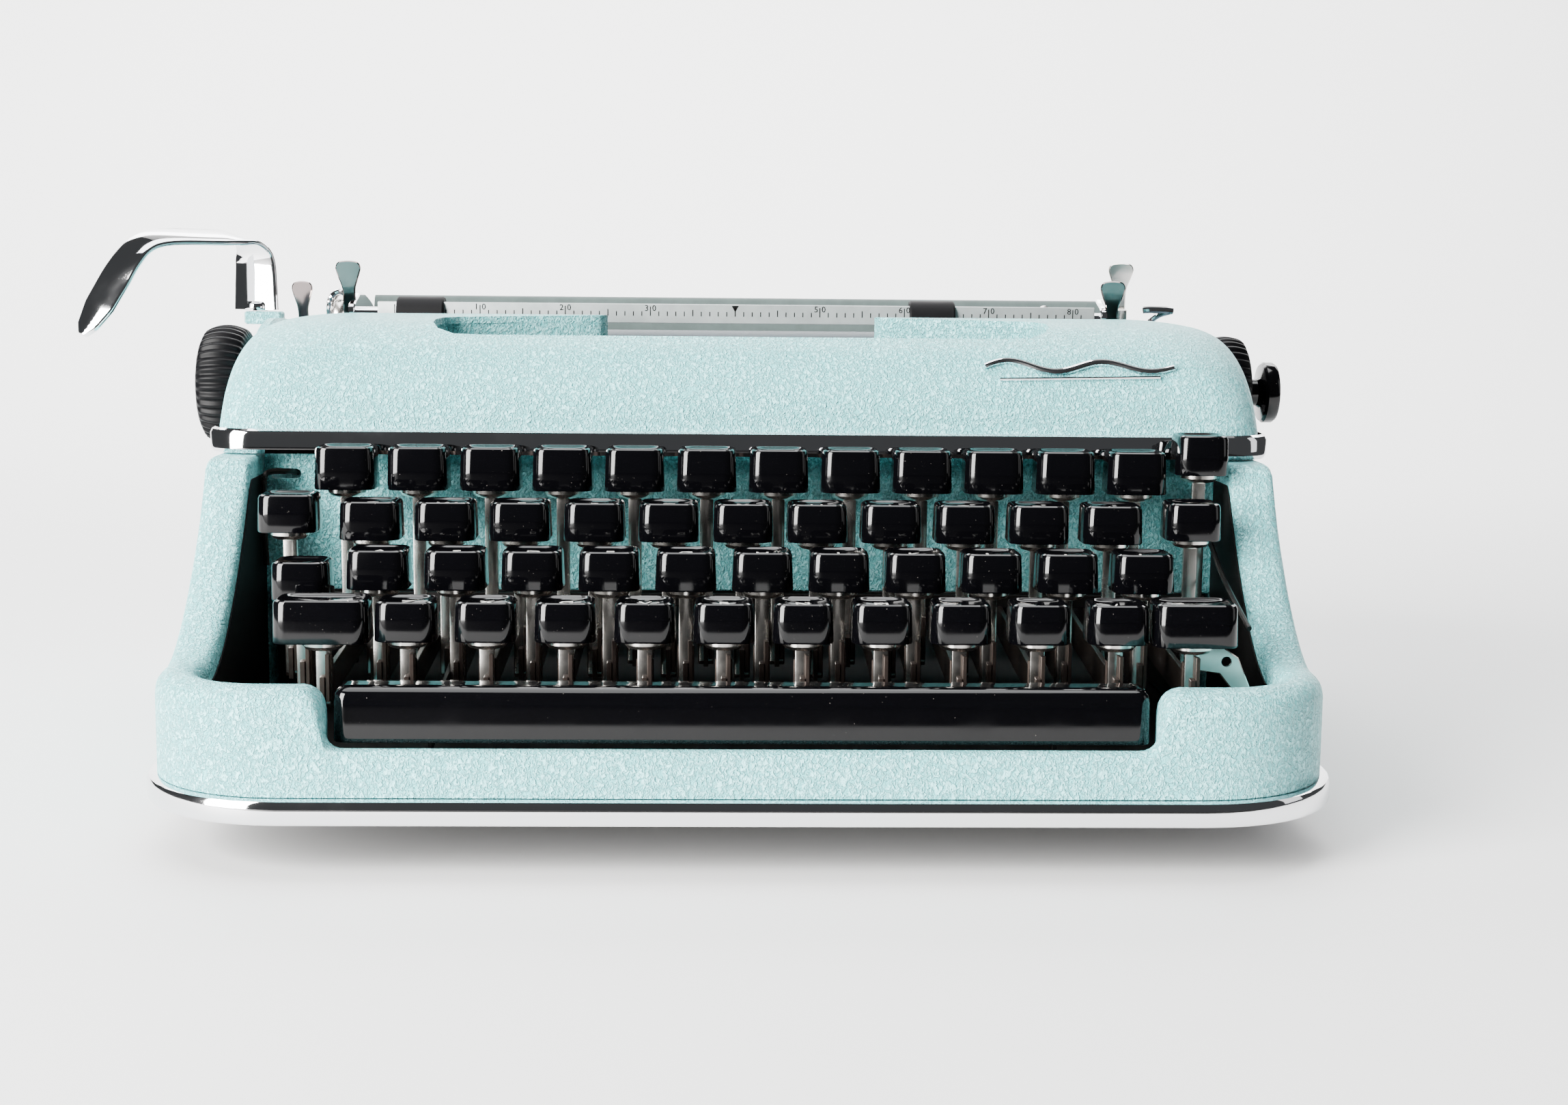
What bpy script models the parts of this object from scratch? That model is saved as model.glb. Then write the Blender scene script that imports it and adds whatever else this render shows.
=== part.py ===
"""A medium portable typewriter: casing, keyboard, and a carriage that lifts when shift is pressed.

Sizes are in millimetres. x = 0 is the middle of the casing, y = 0 its front and z = 0 the table.
"""

import math

import bmesh
import bpy

MM = 0.001  # metres in a millimetre
GAP = 0.3  # between pieces that touch

# Key field, which sets the width
KEY_PITCH = 19.0
WELL_PITCHES = 13.7  # key pitches from one arm to the other
ARM_WIDTH = 11.4

# Base and casing
CASE_WIDTH = WELL_PITCHES * KEY_PITCH + 2 * ARM_WIDTH
CASE_HALF = CASE_WIDTH / 2
CASE_DEPTH = 298.0
CASE_CORNER = 22.0
TRIM_PROUD = 1.7  # how far the base trim stands out of the casing
TRIM_HEIGHT = 6.0
FOOT_HEIGHT = 13.0
FOOT_RADIUS = 11.0
FOOT_INSET = 62.0
PAN_FLOOR = 1.6
CASE_WALL = 2.5
FRONT_TOP = 44.0
FRONT_LEDGE = 11.5
SWEEP_START = 38.0  # where the arms begin to rise
SWEEP_END = 88.7
SWEEP_POWER = 1.7  # the arms rise slowly at first
SHOULDER_TOP = 88.7
DECK_TOP = 80.0
DECK_START = 173.0
DECK_PLATE = 38.0
BACK_PANEL_Y = 106.0
BACK_PANEL_BOTTOM = 51.5
CURVE_STEPS = 8
EDGE_LIP = 5.0  # rounding along the top of the front wall
REAR_LIP = 9.0
ABOVE = 150.0  # higher than the whole casing
SIDE_ROOM = 20.0  # how far the front room runs back under the shoulders

# Ribbon cover
COVER_FRONT = 101.0
COVER_REAR = 168.0
COVER_CORNER = 11.0
COVER_WIDER = 1.6  # how far each side of the cover overhangs the casing
COVER_TRIM_HEIGHT = 6.5
COVER_TRIM_PROUD = 2.0
COVER_EDGE_TOP = 120.5
COVER_SHOULDER_TOP = 125.0
COVER_SLOPE = 27.0
COVER_LEAN = 7.0
COVER_ROUND = 12.0
COVER_WALL = 2.0
COVER_END_SHARE = 0.12  # height left at the cover's very ends
FAN_FRONT_HALF = 0.6 * CASE_HALF
FAN_REAR_HALF = 0.28 * CASE_HALF
FAN_FRONT_Y = 122.0
FAN_PAST_REAR = 9.0

# Key levers
PIVOT_Y = 200.0
PIVOT_Z = 55.0
ROD_RADIUS = 2.0
HOOK_CLEARANCE = 0.35
LEVER_PLATE = 1.2
LEVER_HEIGHT = 8.0
LEVER_BEND = (112.0, 44.5)
LEVER_FRONT_Z = 38.0
STEM_WIDTH = 2.8
STEM_DEPTH = 2.0

# Keys
KEY_CAP = 14.5
CAP_HEIGHT = 9.5
CAP_TAPER = 0.7
CAP_CORNER = 3.0
CUP_RADIUS = 4.6
CUP_HEIGHT = 2.0
KEY_BITE = 0.4  # how far joined shapes run into each other
ROWS = (  # name, keys in the row, first x in key pitches, front y, top z, cap width, cap height
    ("number_key", 12, -5.5, 82.0, 92.4, 15.6, 11.0),
    ("upper_key", 11, -5.0, 63.0, 80.2, 15.3, 9.7),
    ("home_key", 11, -4.75, 44.0, 70.3, 15.0, 9.6),
    ("lower_key", 10, -4.25, 25.0, 60.6, KEY_CAP, CAP_HEIGHT),
)
SIDE_KEYS = (  # name, x in key pitches, cap width, front y, top z
    ("margin_release_key", -6.1, 15.0, 63.0, 81.8),
    ("shift_lock_key", -5.75, 14.3, 44.0, 67.3),
    ("tabulator_key", 6.1, 14.2, 63.0, 81.0),
    ("backspace_key", 6.4, 14.0, 81.0, 97.0),
)
SHIFT_KEYS = ((-5.3, 22.8), (5.72, 20.4))  # x in key pitches, cap width
SHIFT_TOP = 61.0
SHIFT_FRONT = 24.0
SHIFT_BAR = (184.5, 43.0, 3.0)  # y, z and thickness of the bar that joins both shift levers
SPACE_LENGTH = 10 * KEY_PITCH
SPACE_FRONT = 8.0
SPACE_DEPTH = 13.0
SPACE_TOP = 43.5
SPACE_HEIGHT = 13.0
SPACE_CLEARANCE = 1.0
SPACE_SILL = 30.0
SPACE_ARM_X = 3.875 * KEY_PITCH  # half way between two key levers
SPACE_ARM_PLATE = 1.0
SPACE_ARM_Z = 30.5  # low enough to pass under a pressed key

# Inner frame
PLATE_THICK = 3.0
PLATE_CLEARANCE = 1.5
PLATE_X = CASE_HALF - ARM_WIDTH - PLATE_CLEARANCE - PLATE_THICK
PLATE_FRONT = 112.0
PLATE_REAR = CASE_DEPTH - DECK_PLATE - 2.0
PLATE_TOP = 78.0
BEAM_Y = (150.0, 156.0)
BASKET_Y = 165.0
BASKET_RADIUS = 53.0
BASKET_INNER = 20.0
BASKET_Z = (62.0, 70.0)

# Carriage, placed from the platen's middle
PLATEN_RADIUS = 18.0
PLATEN_REAR_ROOM = 106.4  # from the platen's axis to the casing's rear edge
PLATEN_Y = CASE_DEPTH + 3.4 - PLATEN_REAR_ROOM
PLATEN_Z = 102.0
AXLE_RADIUS = 3.0
AXLE_CLEARANCE = 0.5
RAIL_HALF = PLATE_X - 1.5
RAIL_Y = (PLATEN_Y + PLATEN_RADIUS + 13.0, PLATEN_Y + PLATEN_RADIUS + 35.0)
RAIL_Z = (70.0, 80.6)
BED_Y = (PLATEN_Y + PLATEN_RADIUS + 2.0, RAIL_Y[1] + 4.0)
BED_Z = (RAIL_Z[1] + 0.4, RAIL_Z[1] + 4.4)
END_THICK = 4.0
END_LEFT = (-CASE_HALF - 8.5, -CASE_HALF - 8.5 + END_THICK)
END_RIGHT = (CASE_HALF - 1.5, CASE_HALF - 1.5 + END_THICK)
END_OUTLINE = ((45.0, 14.0), (33.0, 20.0), (11.0, 20.0), (-9.0, 12.0), (-11.0, -6.0), (1.0, -16.0))
KNOB_GAP = 2.0
KNOB_LEFT = (END_LEFT[0] - KNOB_GAP - 14.0, END_LEFT[0] - KNOB_GAP, PLATEN_RADIUS + 0.5)
KNOB_RIGHT = (END_RIGHT[1] + KNOB_GAP, END_RIGHT[1] + KNOB_GAP + 12.0, PLATEN_RADIUS - 0.5)
BUTTON_SHAFT = 3.4
BUTTON_DISC = (KNOB_RIGHT[1] + 5.5, KNOB_RIGHT[1] + 10.5, 9.5)
TABLE_HALF = CASE_HALF - 21.5
TABLE_TOP = PLATEN_Z + PLATEN_RADIUS + 8.5
TABLE_SHEET = 1.6
TABLE_LEAN = 13.0
TABLE_FOOT_Y = PLATEN_Y + PLATEN_RADIUS + 6.0

# Carriage fittings
BAIL_PIVOT = (PLATEN_Y + PLATEN_RADIUS + 5.0, PLATEN_Z + PLATEN_RADIUS + 4.0)
BAIL_ROLLER_RADIUS = 5.3
BAIL_Y = PLATEN_Y - 7.5
BAIL_Z = PLATEN_Z + PLATEN_RADIUS + 4.6
BAIL_BAR = (1.0 - TABLE_HALF, TABLE_HALF - 8.0)
BAIL_ROLLERS = ((BAIL_BAR[0] + 13.8, BAIL_BAR[0] + 28.2), (BAIL_BAR[1] - 60.2, BAIL_BAR[1] - 46.2))
BAIL_ROD_RADIUS = 2.0
BAIL_ARM = 2.0
BAIL_TAB = 15.0  # how far the finger tabs stand above the bar
SCALE_UNDER = 2.8
SCALE_HEIGHT = 6.2
LEVER_PIVOT = (END_LEFT[0] - 5.6, PLATEN_Y + PLATEN_RADIUS + 9.0)
LEVER_TURN = 216.0  # degrees: the return lever points left and a little forward
LEVER_STRIP = 11.0
LEVER_SHEET = 2.2
LEVER_LIFT = 5.0  # from the platen's top to the lever's foot
LEVER_PATH = ((0, 0), (0, 14), (3, 20), (9, 22), (30, 22), (41, 16), (50, 4), (57, -8))
LEVER_BOSS = (5.0, 0.7, 3.0)  # radius, and how far it goes below and above the lever's foot
RELEASE_SHEET = 2.0
RELEASE_PIVOT_Z = PLATEN_Z + 10.0
RELEASE_LEFT = (END_LEFT[1] + 2.6, END_LEFT[1] + 9.2, BAIL_PIVOT[0] - 1.5, PLATEN_Z + 31.8)  # x, x, y, top z
RELEASE_RIGHT = (TABLE_HALF + 0.5, TABLE_HALF + 8.6, BAIL_PIVOT[0] + 8.0, PLATEN_Z + 40.0)


def footprint_centre():
    """The middle of the whole object: the lever's tip to the button's end, and the base trim."""
    turn = math.radians(LEVER_TURN)
    reach = LEVER_PATH[-1][0] * math.cos(turn) - LEVER_STRIP / 2 * abs(math.sin(turn))
    return (BUTTON_DISC[1] + LEVER_PIVOT[0] + reach) / 2, CASE_DEPTH / 2 + TRIM_PROUD


MATERIALS = {  # colour, roughness, metallic
    "paint": ((0.48, 0.66, 0.59, 1), 0.45, 0.0),
    "steel": ((0.25, 0.22, 0.20, 1), 0.45, 0.9),
    "chrome": ((0.80, 0.80, 0.82, 1), 0.12, 1.0),
    "black": ((0.012, 0.012, 0.013, 1), 0.10, 0.0),
    "rubber": ((0.02, 0.02, 0.022, 1), 0.55, 0.0),
}


def material(name):
    """The named finish as a Principled material, made once."""
    if name in bpy.data.materials:
        return bpy.data.materials[name]
    colour, roughness, metallic = MATERIALS[name]
    made = bpy.data.materials.new(name)
    made.use_nodes = True
    shader = made.node_tree.nodes["Principled BSDF"]
    shader.inputs["Base Color"].default_value = colour
    shader.inputs["Roughness"].default_value = roughness
    shader.inputs["Metallic"].default_value = metallic
    return made


def solid(name, points, faces):
    """A closed mesh object from millimetre points, with its faces turned outwards."""
    mesh = bpy.data.meshes.new(name)
    mesh.from_pydata([[value * MM for value in point] for point in points], [], faces)
    shape = bmesh.new()
    shape.from_mesh(mesh)
    bmesh.ops.recalc_face_normals(shape, faces=shape.faces)
    shape.to_mesh(mesh)
    shape.free()
    made = bpy.data.objects.new(name, mesh)
    bpy.context.scene.collection.objects.link(made)
    return made


def loft(name, rings):
    """Closed rings of equal length joined in order, with a flat face at each end."""
    count = len(rings[0])
    points = [point for ring in rings for point in ring]
    faces = [list(range(count)), list(range(len(points) - count, len(points)))]
    for start in range(0, len(points) - count, count):
        for i in range(count):
            j = (i + 1) % count
            faces.append([start + i, start + j, start + count + j, start + count + i])
    return solid(name, points, faces)


def prism_x(name, outline, low, high):
    """An outline in y and z, carried along x."""
    return loft(name, [[(x, y, z) for y, z in outline] for x in (low, high)])


def prism_z(name, outline, low, high):
    """An outline in x and y, carried up z."""
    return loft(name, [[(x, y, z) for x, y in outline] for z in (low, high)])


def box(name, low, high):
    outline = ((low[0], low[1]), (high[0], low[1]), (high[0], high[1]), (low[0], high[1]))
    return prism_z(name, outline, low[2], high[2])


def rod_x(name, y, z, radius, low, high, sides=12):
    turns = [2 * math.pi * (i + 0.5) / sides for i in range(sides)]
    outline = [(y + radius * math.cos(a), z + radius * math.sin(a)) for a in turns]
    return prism_x(name, outline, low, high)


def rounded(low_x, high_x, low_y, high_y, corner, steps=4):
    """A rectangle's outline with each corner as an arc."""
    outline = []
    centres = (
        (high_x - corner, high_y - corner, 0),
        (low_x + corner, high_y - corner, 90),
        (low_x + corner, low_y + corner, 180),
        (high_x - corner, low_y + corner, 270),
    )
    for x, y, start in centres:
        for i in range(steps + 1):
            angle = math.radians(start + 90 * i / steps)
            outline.append((x + corner * math.cos(angle), y + corner * math.sin(angle)))
    return outline


def combine(target, tool, operation):
    """Applies one Boolean to the target's mesh and removes the tool."""
    tool.hide_render = True
    tool.display_type = "WIRE"
    modifier = target.modifiers.new(operation.lower(), "BOOLEAN")
    modifier.operation = operation
    modifier.solver = "EXACT"
    modifier.object = tool
    bpy.context.view_layer.update()
    graph = bpy.context.evaluated_depsgraph_get()
    result = bpy.data.meshes.new_from_object(target.evaluated_get(graph))
    target.modifiers.clear()
    target.data = result
    bpy.data.objects.remove(tool)
    return target


def join(target, *tools):
    for tool in tools:
        combine(target, tool, "UNION")
    return target


def cut(target, *tools):
    for tool in tools:
        combine(target, tool, "DIFFERENCE")
    return target


def keep(piece, finish, pivot=(0, 0, 0)):
    """Gives a piece its finish and frame, with its origin moved to the pivot."""
    for vertex in piece.data.vertices:
        for i in range(3):
            vertex.co[i] -= pivot[i] * MM
    piece.location = [value * MM for value in pivot]
    piece.data.materials.clear()
    piece.data.materials.append(material(finish))
    piece.data.name = piece.name
    piece.data.shade_smooth()
    piece.data.set_sharp_from_angle(angle=math.radians(35))
    piece.parent = frame
    return piece


# Base pan and inner frame


def base_pan():
    """The tray with its chrome edge and four feet."""
    half = CASE_HALF + TRIM_PROUD
    rear = CASE_DEPTH + 2 * TRIM_PROUD
    corner = CASE_CORNER + TRIM_PROUD
    top = FOOT_HEIGHT + TRIM_HEIGHT
    pan = prism_z("chassis", rounded(-half, half, 0, rear, corner), FOOT_HEIGHT, top)
    wall = TRIM_PROUD + CASE_WALL
    inside = rounded(-half + wall, half - wall, wall, rear - wall, corner - wall)
    cut(pan, prism_z("inside", inside, FOOT_HEIGHT + PAN_FLOOR, top + 1))
    for x in (-half + FOOT_INSET, half - FOOT_INSET):
        for y in (FOOT_INSET, rear - FOOT_INSET):
            turns = [2 * math.pi * i / 12 for i in range(12)]
            rings = [
                [(x + r * math.cos(a), y + r * math.sin(a), z) for a in turns]
                for r, z in ((FOOT_RADIUS - 1.5, 0), (FOOT_RADIUS, FOOT_HEIGHT + KEY_BITE))
            ]
            join(pan, loft("foot", rings))
    return pan


def fan(name, centre_y, inner, outer, low, high, steps=10):
    """A half ring that opens to the rear."""
    turns = [math.radians(195 + 150 * i / steps) for i in range(steps + 1)]
    outline = [(outer * math.cos(a), centre_y + outer * math.sin(a)) for a in turns]
    outline += [(inner * math.cos(a), centre_y + inner * math.sin(a)) for a in reversed(turns)]
    return prism_z(name, outline, low, high)


def chassis():
    """Base pan, side plates, lever rod and the type basket's segment."""
    made = base_pan()
    bottom = FOOT_HEIGHT + PAN_FLOOR - KEY_BITE
    for side in (-1, 1):
        near, far = sorted((side * PLATE_X, side * (PLATE_X + PLATE_THICK)))
        join(made, box("plate", (near, PLATE_FRONT, bottom), (far, PLATE_REAR, PLATE_TOP)))
    reach = PLATE_X + 1
    join(made, rod_x("rod", PIVOT_Y, PIVOT_Z, ROD_RADIUS, -reach, reach))
    join(made, box("beam", (-reach, BEAM_Y[0], BASKET_Z[0]), (reach, BEAM_Y[1], BASKET_Z[1] - 1)))
    join(made, fan("segment", BASKET_Y, BASKET_INNER, BASKET_RADIUS, BASKET_Z[0] + 1, BASKET_Z[1]))
    return keep(made, "steel")


# Casing


def case_outline(inset=0.0):
    """The casing's side view: low front, swept arms, shoulder, then the lower rear deck."""
    front, rear = TRIM_PROUD + inset, TRIM_PROUD + CASE_DEPTH - inset
    low = FOOT_HEIGHT + TRIM_HEIGHT + GAP
    lip = EDGE_LIP
    outline = [(front, low), (front, FRONT_TOP - lip - inset)]
    for i in range(1, 4):
        angle = math.radians(180 - 30 * i)
        outline.append((front + lip + lip * math.cos(angle), FRONT_TOP - inset - lip + lip * math.sin(angle)))
    for i in range(CURVE_STEPS + 1):
        t = i / CURVE_STEPS
        rise = t**SWEEP_POWER
        y = SWEEP_START + (SWEEP_END - SWEEP_START) * t
        outline.append((y + inset / 2, FRONT_TOP - inset + (SHOULDER_TOP - FRONT_TOP) * rise))
    outline += [(DECK_START, SHOULDER_TOP - inset), (DECK_START + 2, DECK_TOP - inset)]
    outline += [(rear - REAR_LIP, DECK_TOP - inset), (rear - REAR_LIP / 3, DECK_TOP - inset - REAR_LIP / 3)]
    outline += [(rear, DECK_TOP - inset - REAR_LIP), (rear, low)]
    return outline


def body_shell():
    front, rear = TRIM_PROUD, TRIM_PROUD + CASE_DEPTH
    made = prism_x("body_shell", case_outline(), -CASE_HALF, CASE_HALF)
    plan = rounded(-CASE_HALF, CASE_HALF, front, rear, CASE_CORNER)
    combine(made, prism_z("plan", plan, 0, ABOVE), "INTERSECT")
    well = CASE_HALF - ARM_WIDTH
    wall = CASE_WALL
    deep = CASE_HALF - wall
    corner = CASE_CORNER - wall
    ledge = front + FRONT_LEDGE
    front_room = rounded(-well, well, front + wall, PLATE_FRONT + SIDE_ROOM, corner)
    rear_room = rounded(-deep, deep, PLATE_FRONT - 2, rear - wall, corner)
    beside = PLATE_X + PLATE_THICK + 1
    cut(
        made,
        prism_z("front_room", front_room, 0, FRONT_TOP - wall),
        prism_z("rear_room", rear_room, 0, DECK_TOP - wall),
        box("well", (-well, ledge, SPACE_SILL), (well, BACK_PANEL_Y, ABOVE)),
        box("top", (-beside, BACK_PANEL_Y + wall, SPACE_SILL), (beside, rear - DECK_PLATE, ABOVE)),
    )
    notch = SPACE_LENGTH / 2 + SPACE_CLEARANCE
    panel_rear = BACK_PANEL_Y + wall + 4
    cut(
        made,
        box("notch", (-notch, -1, SPACE_SILL), (notch, ledge + 1, ABOVE)),
        box("lever_pass", (-well, BACK_PANEL_Y - 3, 0), (well, panel_rear, BACK_PANEL_BOTTOM)),
    )
    return keep(made, "paint")


# Ribbon cover


def cover_form(name, inset, low):
    """The ribbon cover's outside, or with an inset its inside, as slices across x."""
    half = CASE_HALF + COVER_WIDER - inset
    base = SHOULDER_TOP + GAP
    height = COVER_SHOULDER_TOP - inset - SHOULDER_TOP
    straight = height - COVER_ROUND
    ends = [(half, 0.0), (half - COVER_LEAN * 0.55, straight / height)]
    for i in range(1, 4):
        angle = math.radians(30 * i)
        x = half - COVER_LEAN - COVER_ROUND + COVER_ROUND * math.cos(angle)
        ends.append((x, (straight + COVER_ROUND * math.sin(angle)) / height))
    stations = [(-x, share) for x, share in ends] + [(x, share) for x, share in reversed(ends)]
    rear = COVER_REAR if inset == 0 else COVER_REAR + 5
    slices = []
    for x, share in stations:
        share = max(share, COVER_END_SHARE)
        beyond = min(max(0.0, abs(x) - (half - COVER_CORNER)), COVER_CORNER - 1)
        front = COVER_FRONT + inset + COVER_CORNER - math.sqrt(COVER_CORNER**2 - beyond**2)
        outline = [(front, low), (front, SHOULDER_TOP + COVER_TRIM_HEIGHT)]
        for i in range(1, 5):
            angle = math.radians(22.5 * i)
            y = front + COVER_SLOPE * (1 - math.cos(angle))
            z = SHOULDER_TOP + COVER_TRIM_HEIGHT
            z += (COVER_EDGE_TOP - inset - z) * math.sin(angle)
            outline.append((y, z))
        outline += [(rear, COVER_SHOULDER_TOP - inset), (rear, low)]
        slices.append([(x, y, base + (z - base) * share if z > base else z) for y, z in outline])
    return loft(name, slices)


def ribbon_cover():
    """The lift-off cover with its chrome edge and the fan-shaped opening over the typebars."""
    base = SHOULDER_TOP + GAP
    made = cover_form("ribbon_cover", 0.0, base)
    half = CASE_HALF + COVER_WIDER + COVER_TRIM_PROUD
    corner = COVER_CORNER + COVER_TRIM_PROUD
    past = COVER_REAR + 3 * COVER_CORNER
    trim = rounded(-half, half, COVER_FRONT - COVER_TRIM_PROUD, past, corner)
    band = prism_z("band", trim, base, base + COVER_TRIM_HEIGHT)
    cut(band, box("band_rear", (-half - 1, COVER_REAR, 0), (half + 1, past + 1, ABOVE)))
    join(made, band)
    cut(made, cover_form("inside", COVER_WALL, base - 5))
    end = COVER_REAR + FAN_PAST_REAR
    opening = [(-FAN_FRONT_HALF, FAN_FRONT_Y), (FAN_FRONT_HALF, FAN_FRONT_Y)]
    opening += [(FAN_REAR_HALF, end), (-FAN_REAR_HALF, end)]
    cut(made, prism_z("fan", opening, base + COVER_TRIM_HEIGHT + 2, ABOVE))
    return keep(made, "paint", (0, COVER_FRONT, base))


# Keyboard


def lever_outline(stem_y, front_z=LEVER_FRONT_Z):
    """Side view of a key lever: a hook on the rod, a bend, and the front end under the key."""
    half = LEVER_HEIGHT / 2
    hook = ROD_RADIUS + HOOK_CLEARANCE
    end = PIVOT_Y + ROD_RADIUS
    bend_y, bend_z = LEVER_BEND
    outline = [(end, PIVOT_Z + half), (end, PIVOT_Z + hook)]
    for i in range(5):
        angle = math.radians(90 + 45 * i)
        outline.append((PIVOT_Y + hook * math.cos(angle), PIVOT_Z + hook * math.sin(angle)))
    outline += [(end, PIVOT_Z - hook), (end, PIVOT_Z - half), (PIVOT_Y - 6, PIVOT_Z - half)]
    outline += [(bend_y, bend_z - half), (stem_y - 1.6, front_z - half)]
    outline += [(stem_y - 1.6, front_z + half), (bend_y, bend_z + half)]
    outline += [(PIVOT_Y - 6, PIVOT_Z + half)]
    return outline


def cap(name, x, width, front, top, height):
    """A key's plastic cap, a little narrower at the top."""
    rings = []
    for inset, z in ((0.0, top - height), (CAP_TAPER, top)):
        half = width / 2 - inset
        outline = rounded(x - half, x + half, front + inset / 2, front + KEY_CAP - inset, CAP_CORNER, 2)
        rings.append([(px, py, z) for px, py in outline])
    return loft(name, rings)


def key_solid(name, x, width, front, top, height=CAP_HEIGHT):
    """Cap, metal cup, stem and lever of one key, as one body."""
    stem_y = front + KEY_CAP / 2
    made = cap(name, x, width, front, top, height)
    cup_top = top - height + KEY_BITE
    cup_bottom = top - height - CUP_HEIGHT
    turns = [2 * math.pi * (i + 0.5) / 8 for i in range(8)]
    rings = [
        [(x + r * math.cos(a), stem_y + r * math.sin(a), z) for a in turns]
        for r, z in ((CUP_RADIUS - 1.0, cup_bottom), (CUP_RADIUS, cup_top))
    ]
    join(made, loft("cup", rings))
    wide, deep = STEM_WIDTH / 2, STEM_DEPTH / 2
    foot = LEVER_FRONT_Z - LEVER_HEIGHT / 4
    join(made, box("stem", (x - wide, stem_y - deep, foot), (x + wide, stem_y + deep, cup_bottom + KEY_BITE)))
    plate = LEVER_PLATE / 2
    join(made, prism_x("lever", lever_outline(stem_y), x - plate, x + plate))
    return made


def character_keys():
    """Four rows: each row shares one mesh, with its origin on the lever rod."""
    for row, count, first, front, top, width, height in ROWS:
        pattern = key_solid(row, 0.0, width, front, top, height)
        keep(pattern, "black", (0, PIVOT_Y, PIVOT_Z))
        pattern.name = f"{row}_1"
        pattern.location.x = first * KEY_PITCH * MM
        for i in range(1, count):
            copy = bpy.data.objects.new(f"{row}_{i + 1}", pattern.data)
            bpy.context.scene.collection.objects.link(copy)
            copy.parent = frame
            copy.location = pattern.location
            copy.location.x += i * KEY_PITCH * MM


def side_keys():
    for name, pitches, width, front, top in SIDE_KEYS:
        x = pitches * KEY_PITCH
        keep(key_solid(name, x, width, front, top), "black", (x, PIVOT_Y, PIVOT_Z))


def shift_keys():
    """Both shift keys on one bail: a bar below the key levers joins their two levers."""
    y, z, thick = SHIFT_BAR
    (left, left_width), (right, right_width) = SHIFT_KEYS
    left *= KEY_PITCH
    right *= KEY_PITCH
    made = key_solid("shift_keys", left, left_width, SHIFT_FRONT, SHIFT_TOP)
    join(made, key_solid("right", right, right_width, SHIFT_FRONT, SHIFT_TOP))
    plate = LEVER_PLATE / 2
    foot = z - thick / 2
    for x in (left, right):
        tab = ((y - thick, foot), (y + thick, foot), (y + thick, PIVOT_Z), (y - thick, PIVOT_Z - 2))
        join(made, prism_x("tab", tab, x - plate * 0.9, x + plate * 0.9))
    low = (left - 0.3, y - thick / 2, foot + 0.2)
    high = (right + 0.3, y + thick / 2, foot + thick - 0.2)
    join(made, box("bar", low, high))
    return keep(made, "black", (0, PIVOT_Y, PIVOT_Z))


def space_bar():
    """The long bar on two lever arms."""
    half = SPACE_LENGTH / 2
    rear = SPACE_FRONT + SPACE_DEPTH
    rings = []
    for inset, z in ((0.0, SPACE_TOP - SPACE_HEIGHT), (0.3, SPACE_TOP - 2), (1.6, SPACE_TOP)):
        outline = rounded(-half + inset, half - inset, SPACE_FRONT + inset, rear - inset, 2.4, 2)
        rings.append([(x, y, z) for x, y in outline])
    made = loft("space_bar", rings)
    for side in (-1, 1):
        x = side * SPACE_ARM_X
        plate = SPACE_ARM_PLATE / 2
        join(made, prism_x("arm", lever_outline(rear - 1, SPACE_ARM_Z), x - plate, x + plate))
    return keep(made, "black", (0, PIVOT_Y, PIVOT_Z))


# Carriage


def carriage_rail():
    """The rail that shift lifts, with the carriage on it."""
    low = (-RAIL_HALF, RAIL_Y[0], RAIL_Z[0])
    high = (RAIL_HALF, RAIL_Y[1], RAIL_Z[1])
    made = box("carriage_rail", low, high)
    groove_low = (-RAIL_HALF - 1, RAIL_Y[0] + 7, RAIL_Z[0] - 1)
    groove_high = (RAIL_HALF + 1, RAIL_Y[1] - 7, RAIL_Z[1] - 4)
    cut(made, box("groove", groove_low, groove_high))
    return keep(made, "steel", (0, (RAIL_Y[0] + RAIL_Y[1]) / 2, RAIL_Z[0]))


def end_plate(name, low, high):
    """One end of the carriage, with the platen axle's hole."""
    outline = [(BED_Y[1], BED_Z[0]), (BED_Y[1], PLATEN_Z - 4)]
    outline += [(PLATEN_Y + y, PLATEN_Z + z) for y, z in END_OUTLINE]
    outline += [(BED_Y[0], BED_Z[0])]
    made = prism_x(name, outline, low, high)
    hole = AXLE_RADIUS + AXLE_CLEARANCE
    return cut(made, rod_x("hole", PLATEN_Y, PLATEN_Z, hole, low - 1, high + 1))


def table_outline():
    """The paper table's curved sheet in side view: up from the bed and leaning back."""
    front, back = [], []
    rise = TABLE_TOP - BED_Z[1] + 1
    for i in range(7):
        t = i / 6
        y = TABLE_FOOT_Y + TABLE_LEAN * t * t
        z = BED_Z[1] - 1 + rise * t
        front.append((y, z))
        back.append((y + TABLE_SHEET, z - 0.4 * t))
    return front + back[::-1]


def carriage():
    """Bed, end plates and paper table."""
    low = (END_LEFT[0] + 1, BED_Y[0] + 0.6, BED_Z[0] + 0.2)
    high = (END_RIGHT[1] - 1, BED_Y[1] - 0.6, BED_Z[1])
    made = box("carriage", low, high)
    join(made, end_plate("left_end", *END_LEFT), end_plate("right_end", *END_RIGHT))
    join(made, prism_x("table", table_outline(), -TABLE_HALF, TABLE_HALF))
    x, y = LEVER_PIVOT
    radius, below, _ = LEVER_BOSS
    top = PLATEN_Z + PLATEN_RADIUS + LEVER_LIFT - below - GAP
    join(made, box("lever_seat", (x - radius, y - radius, top - 4), (END_LEFT[1] - 1, y + radius, top)))
    return keep(made, "paint", (0, PLATEN_Y, PLATEN_Z))


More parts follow.
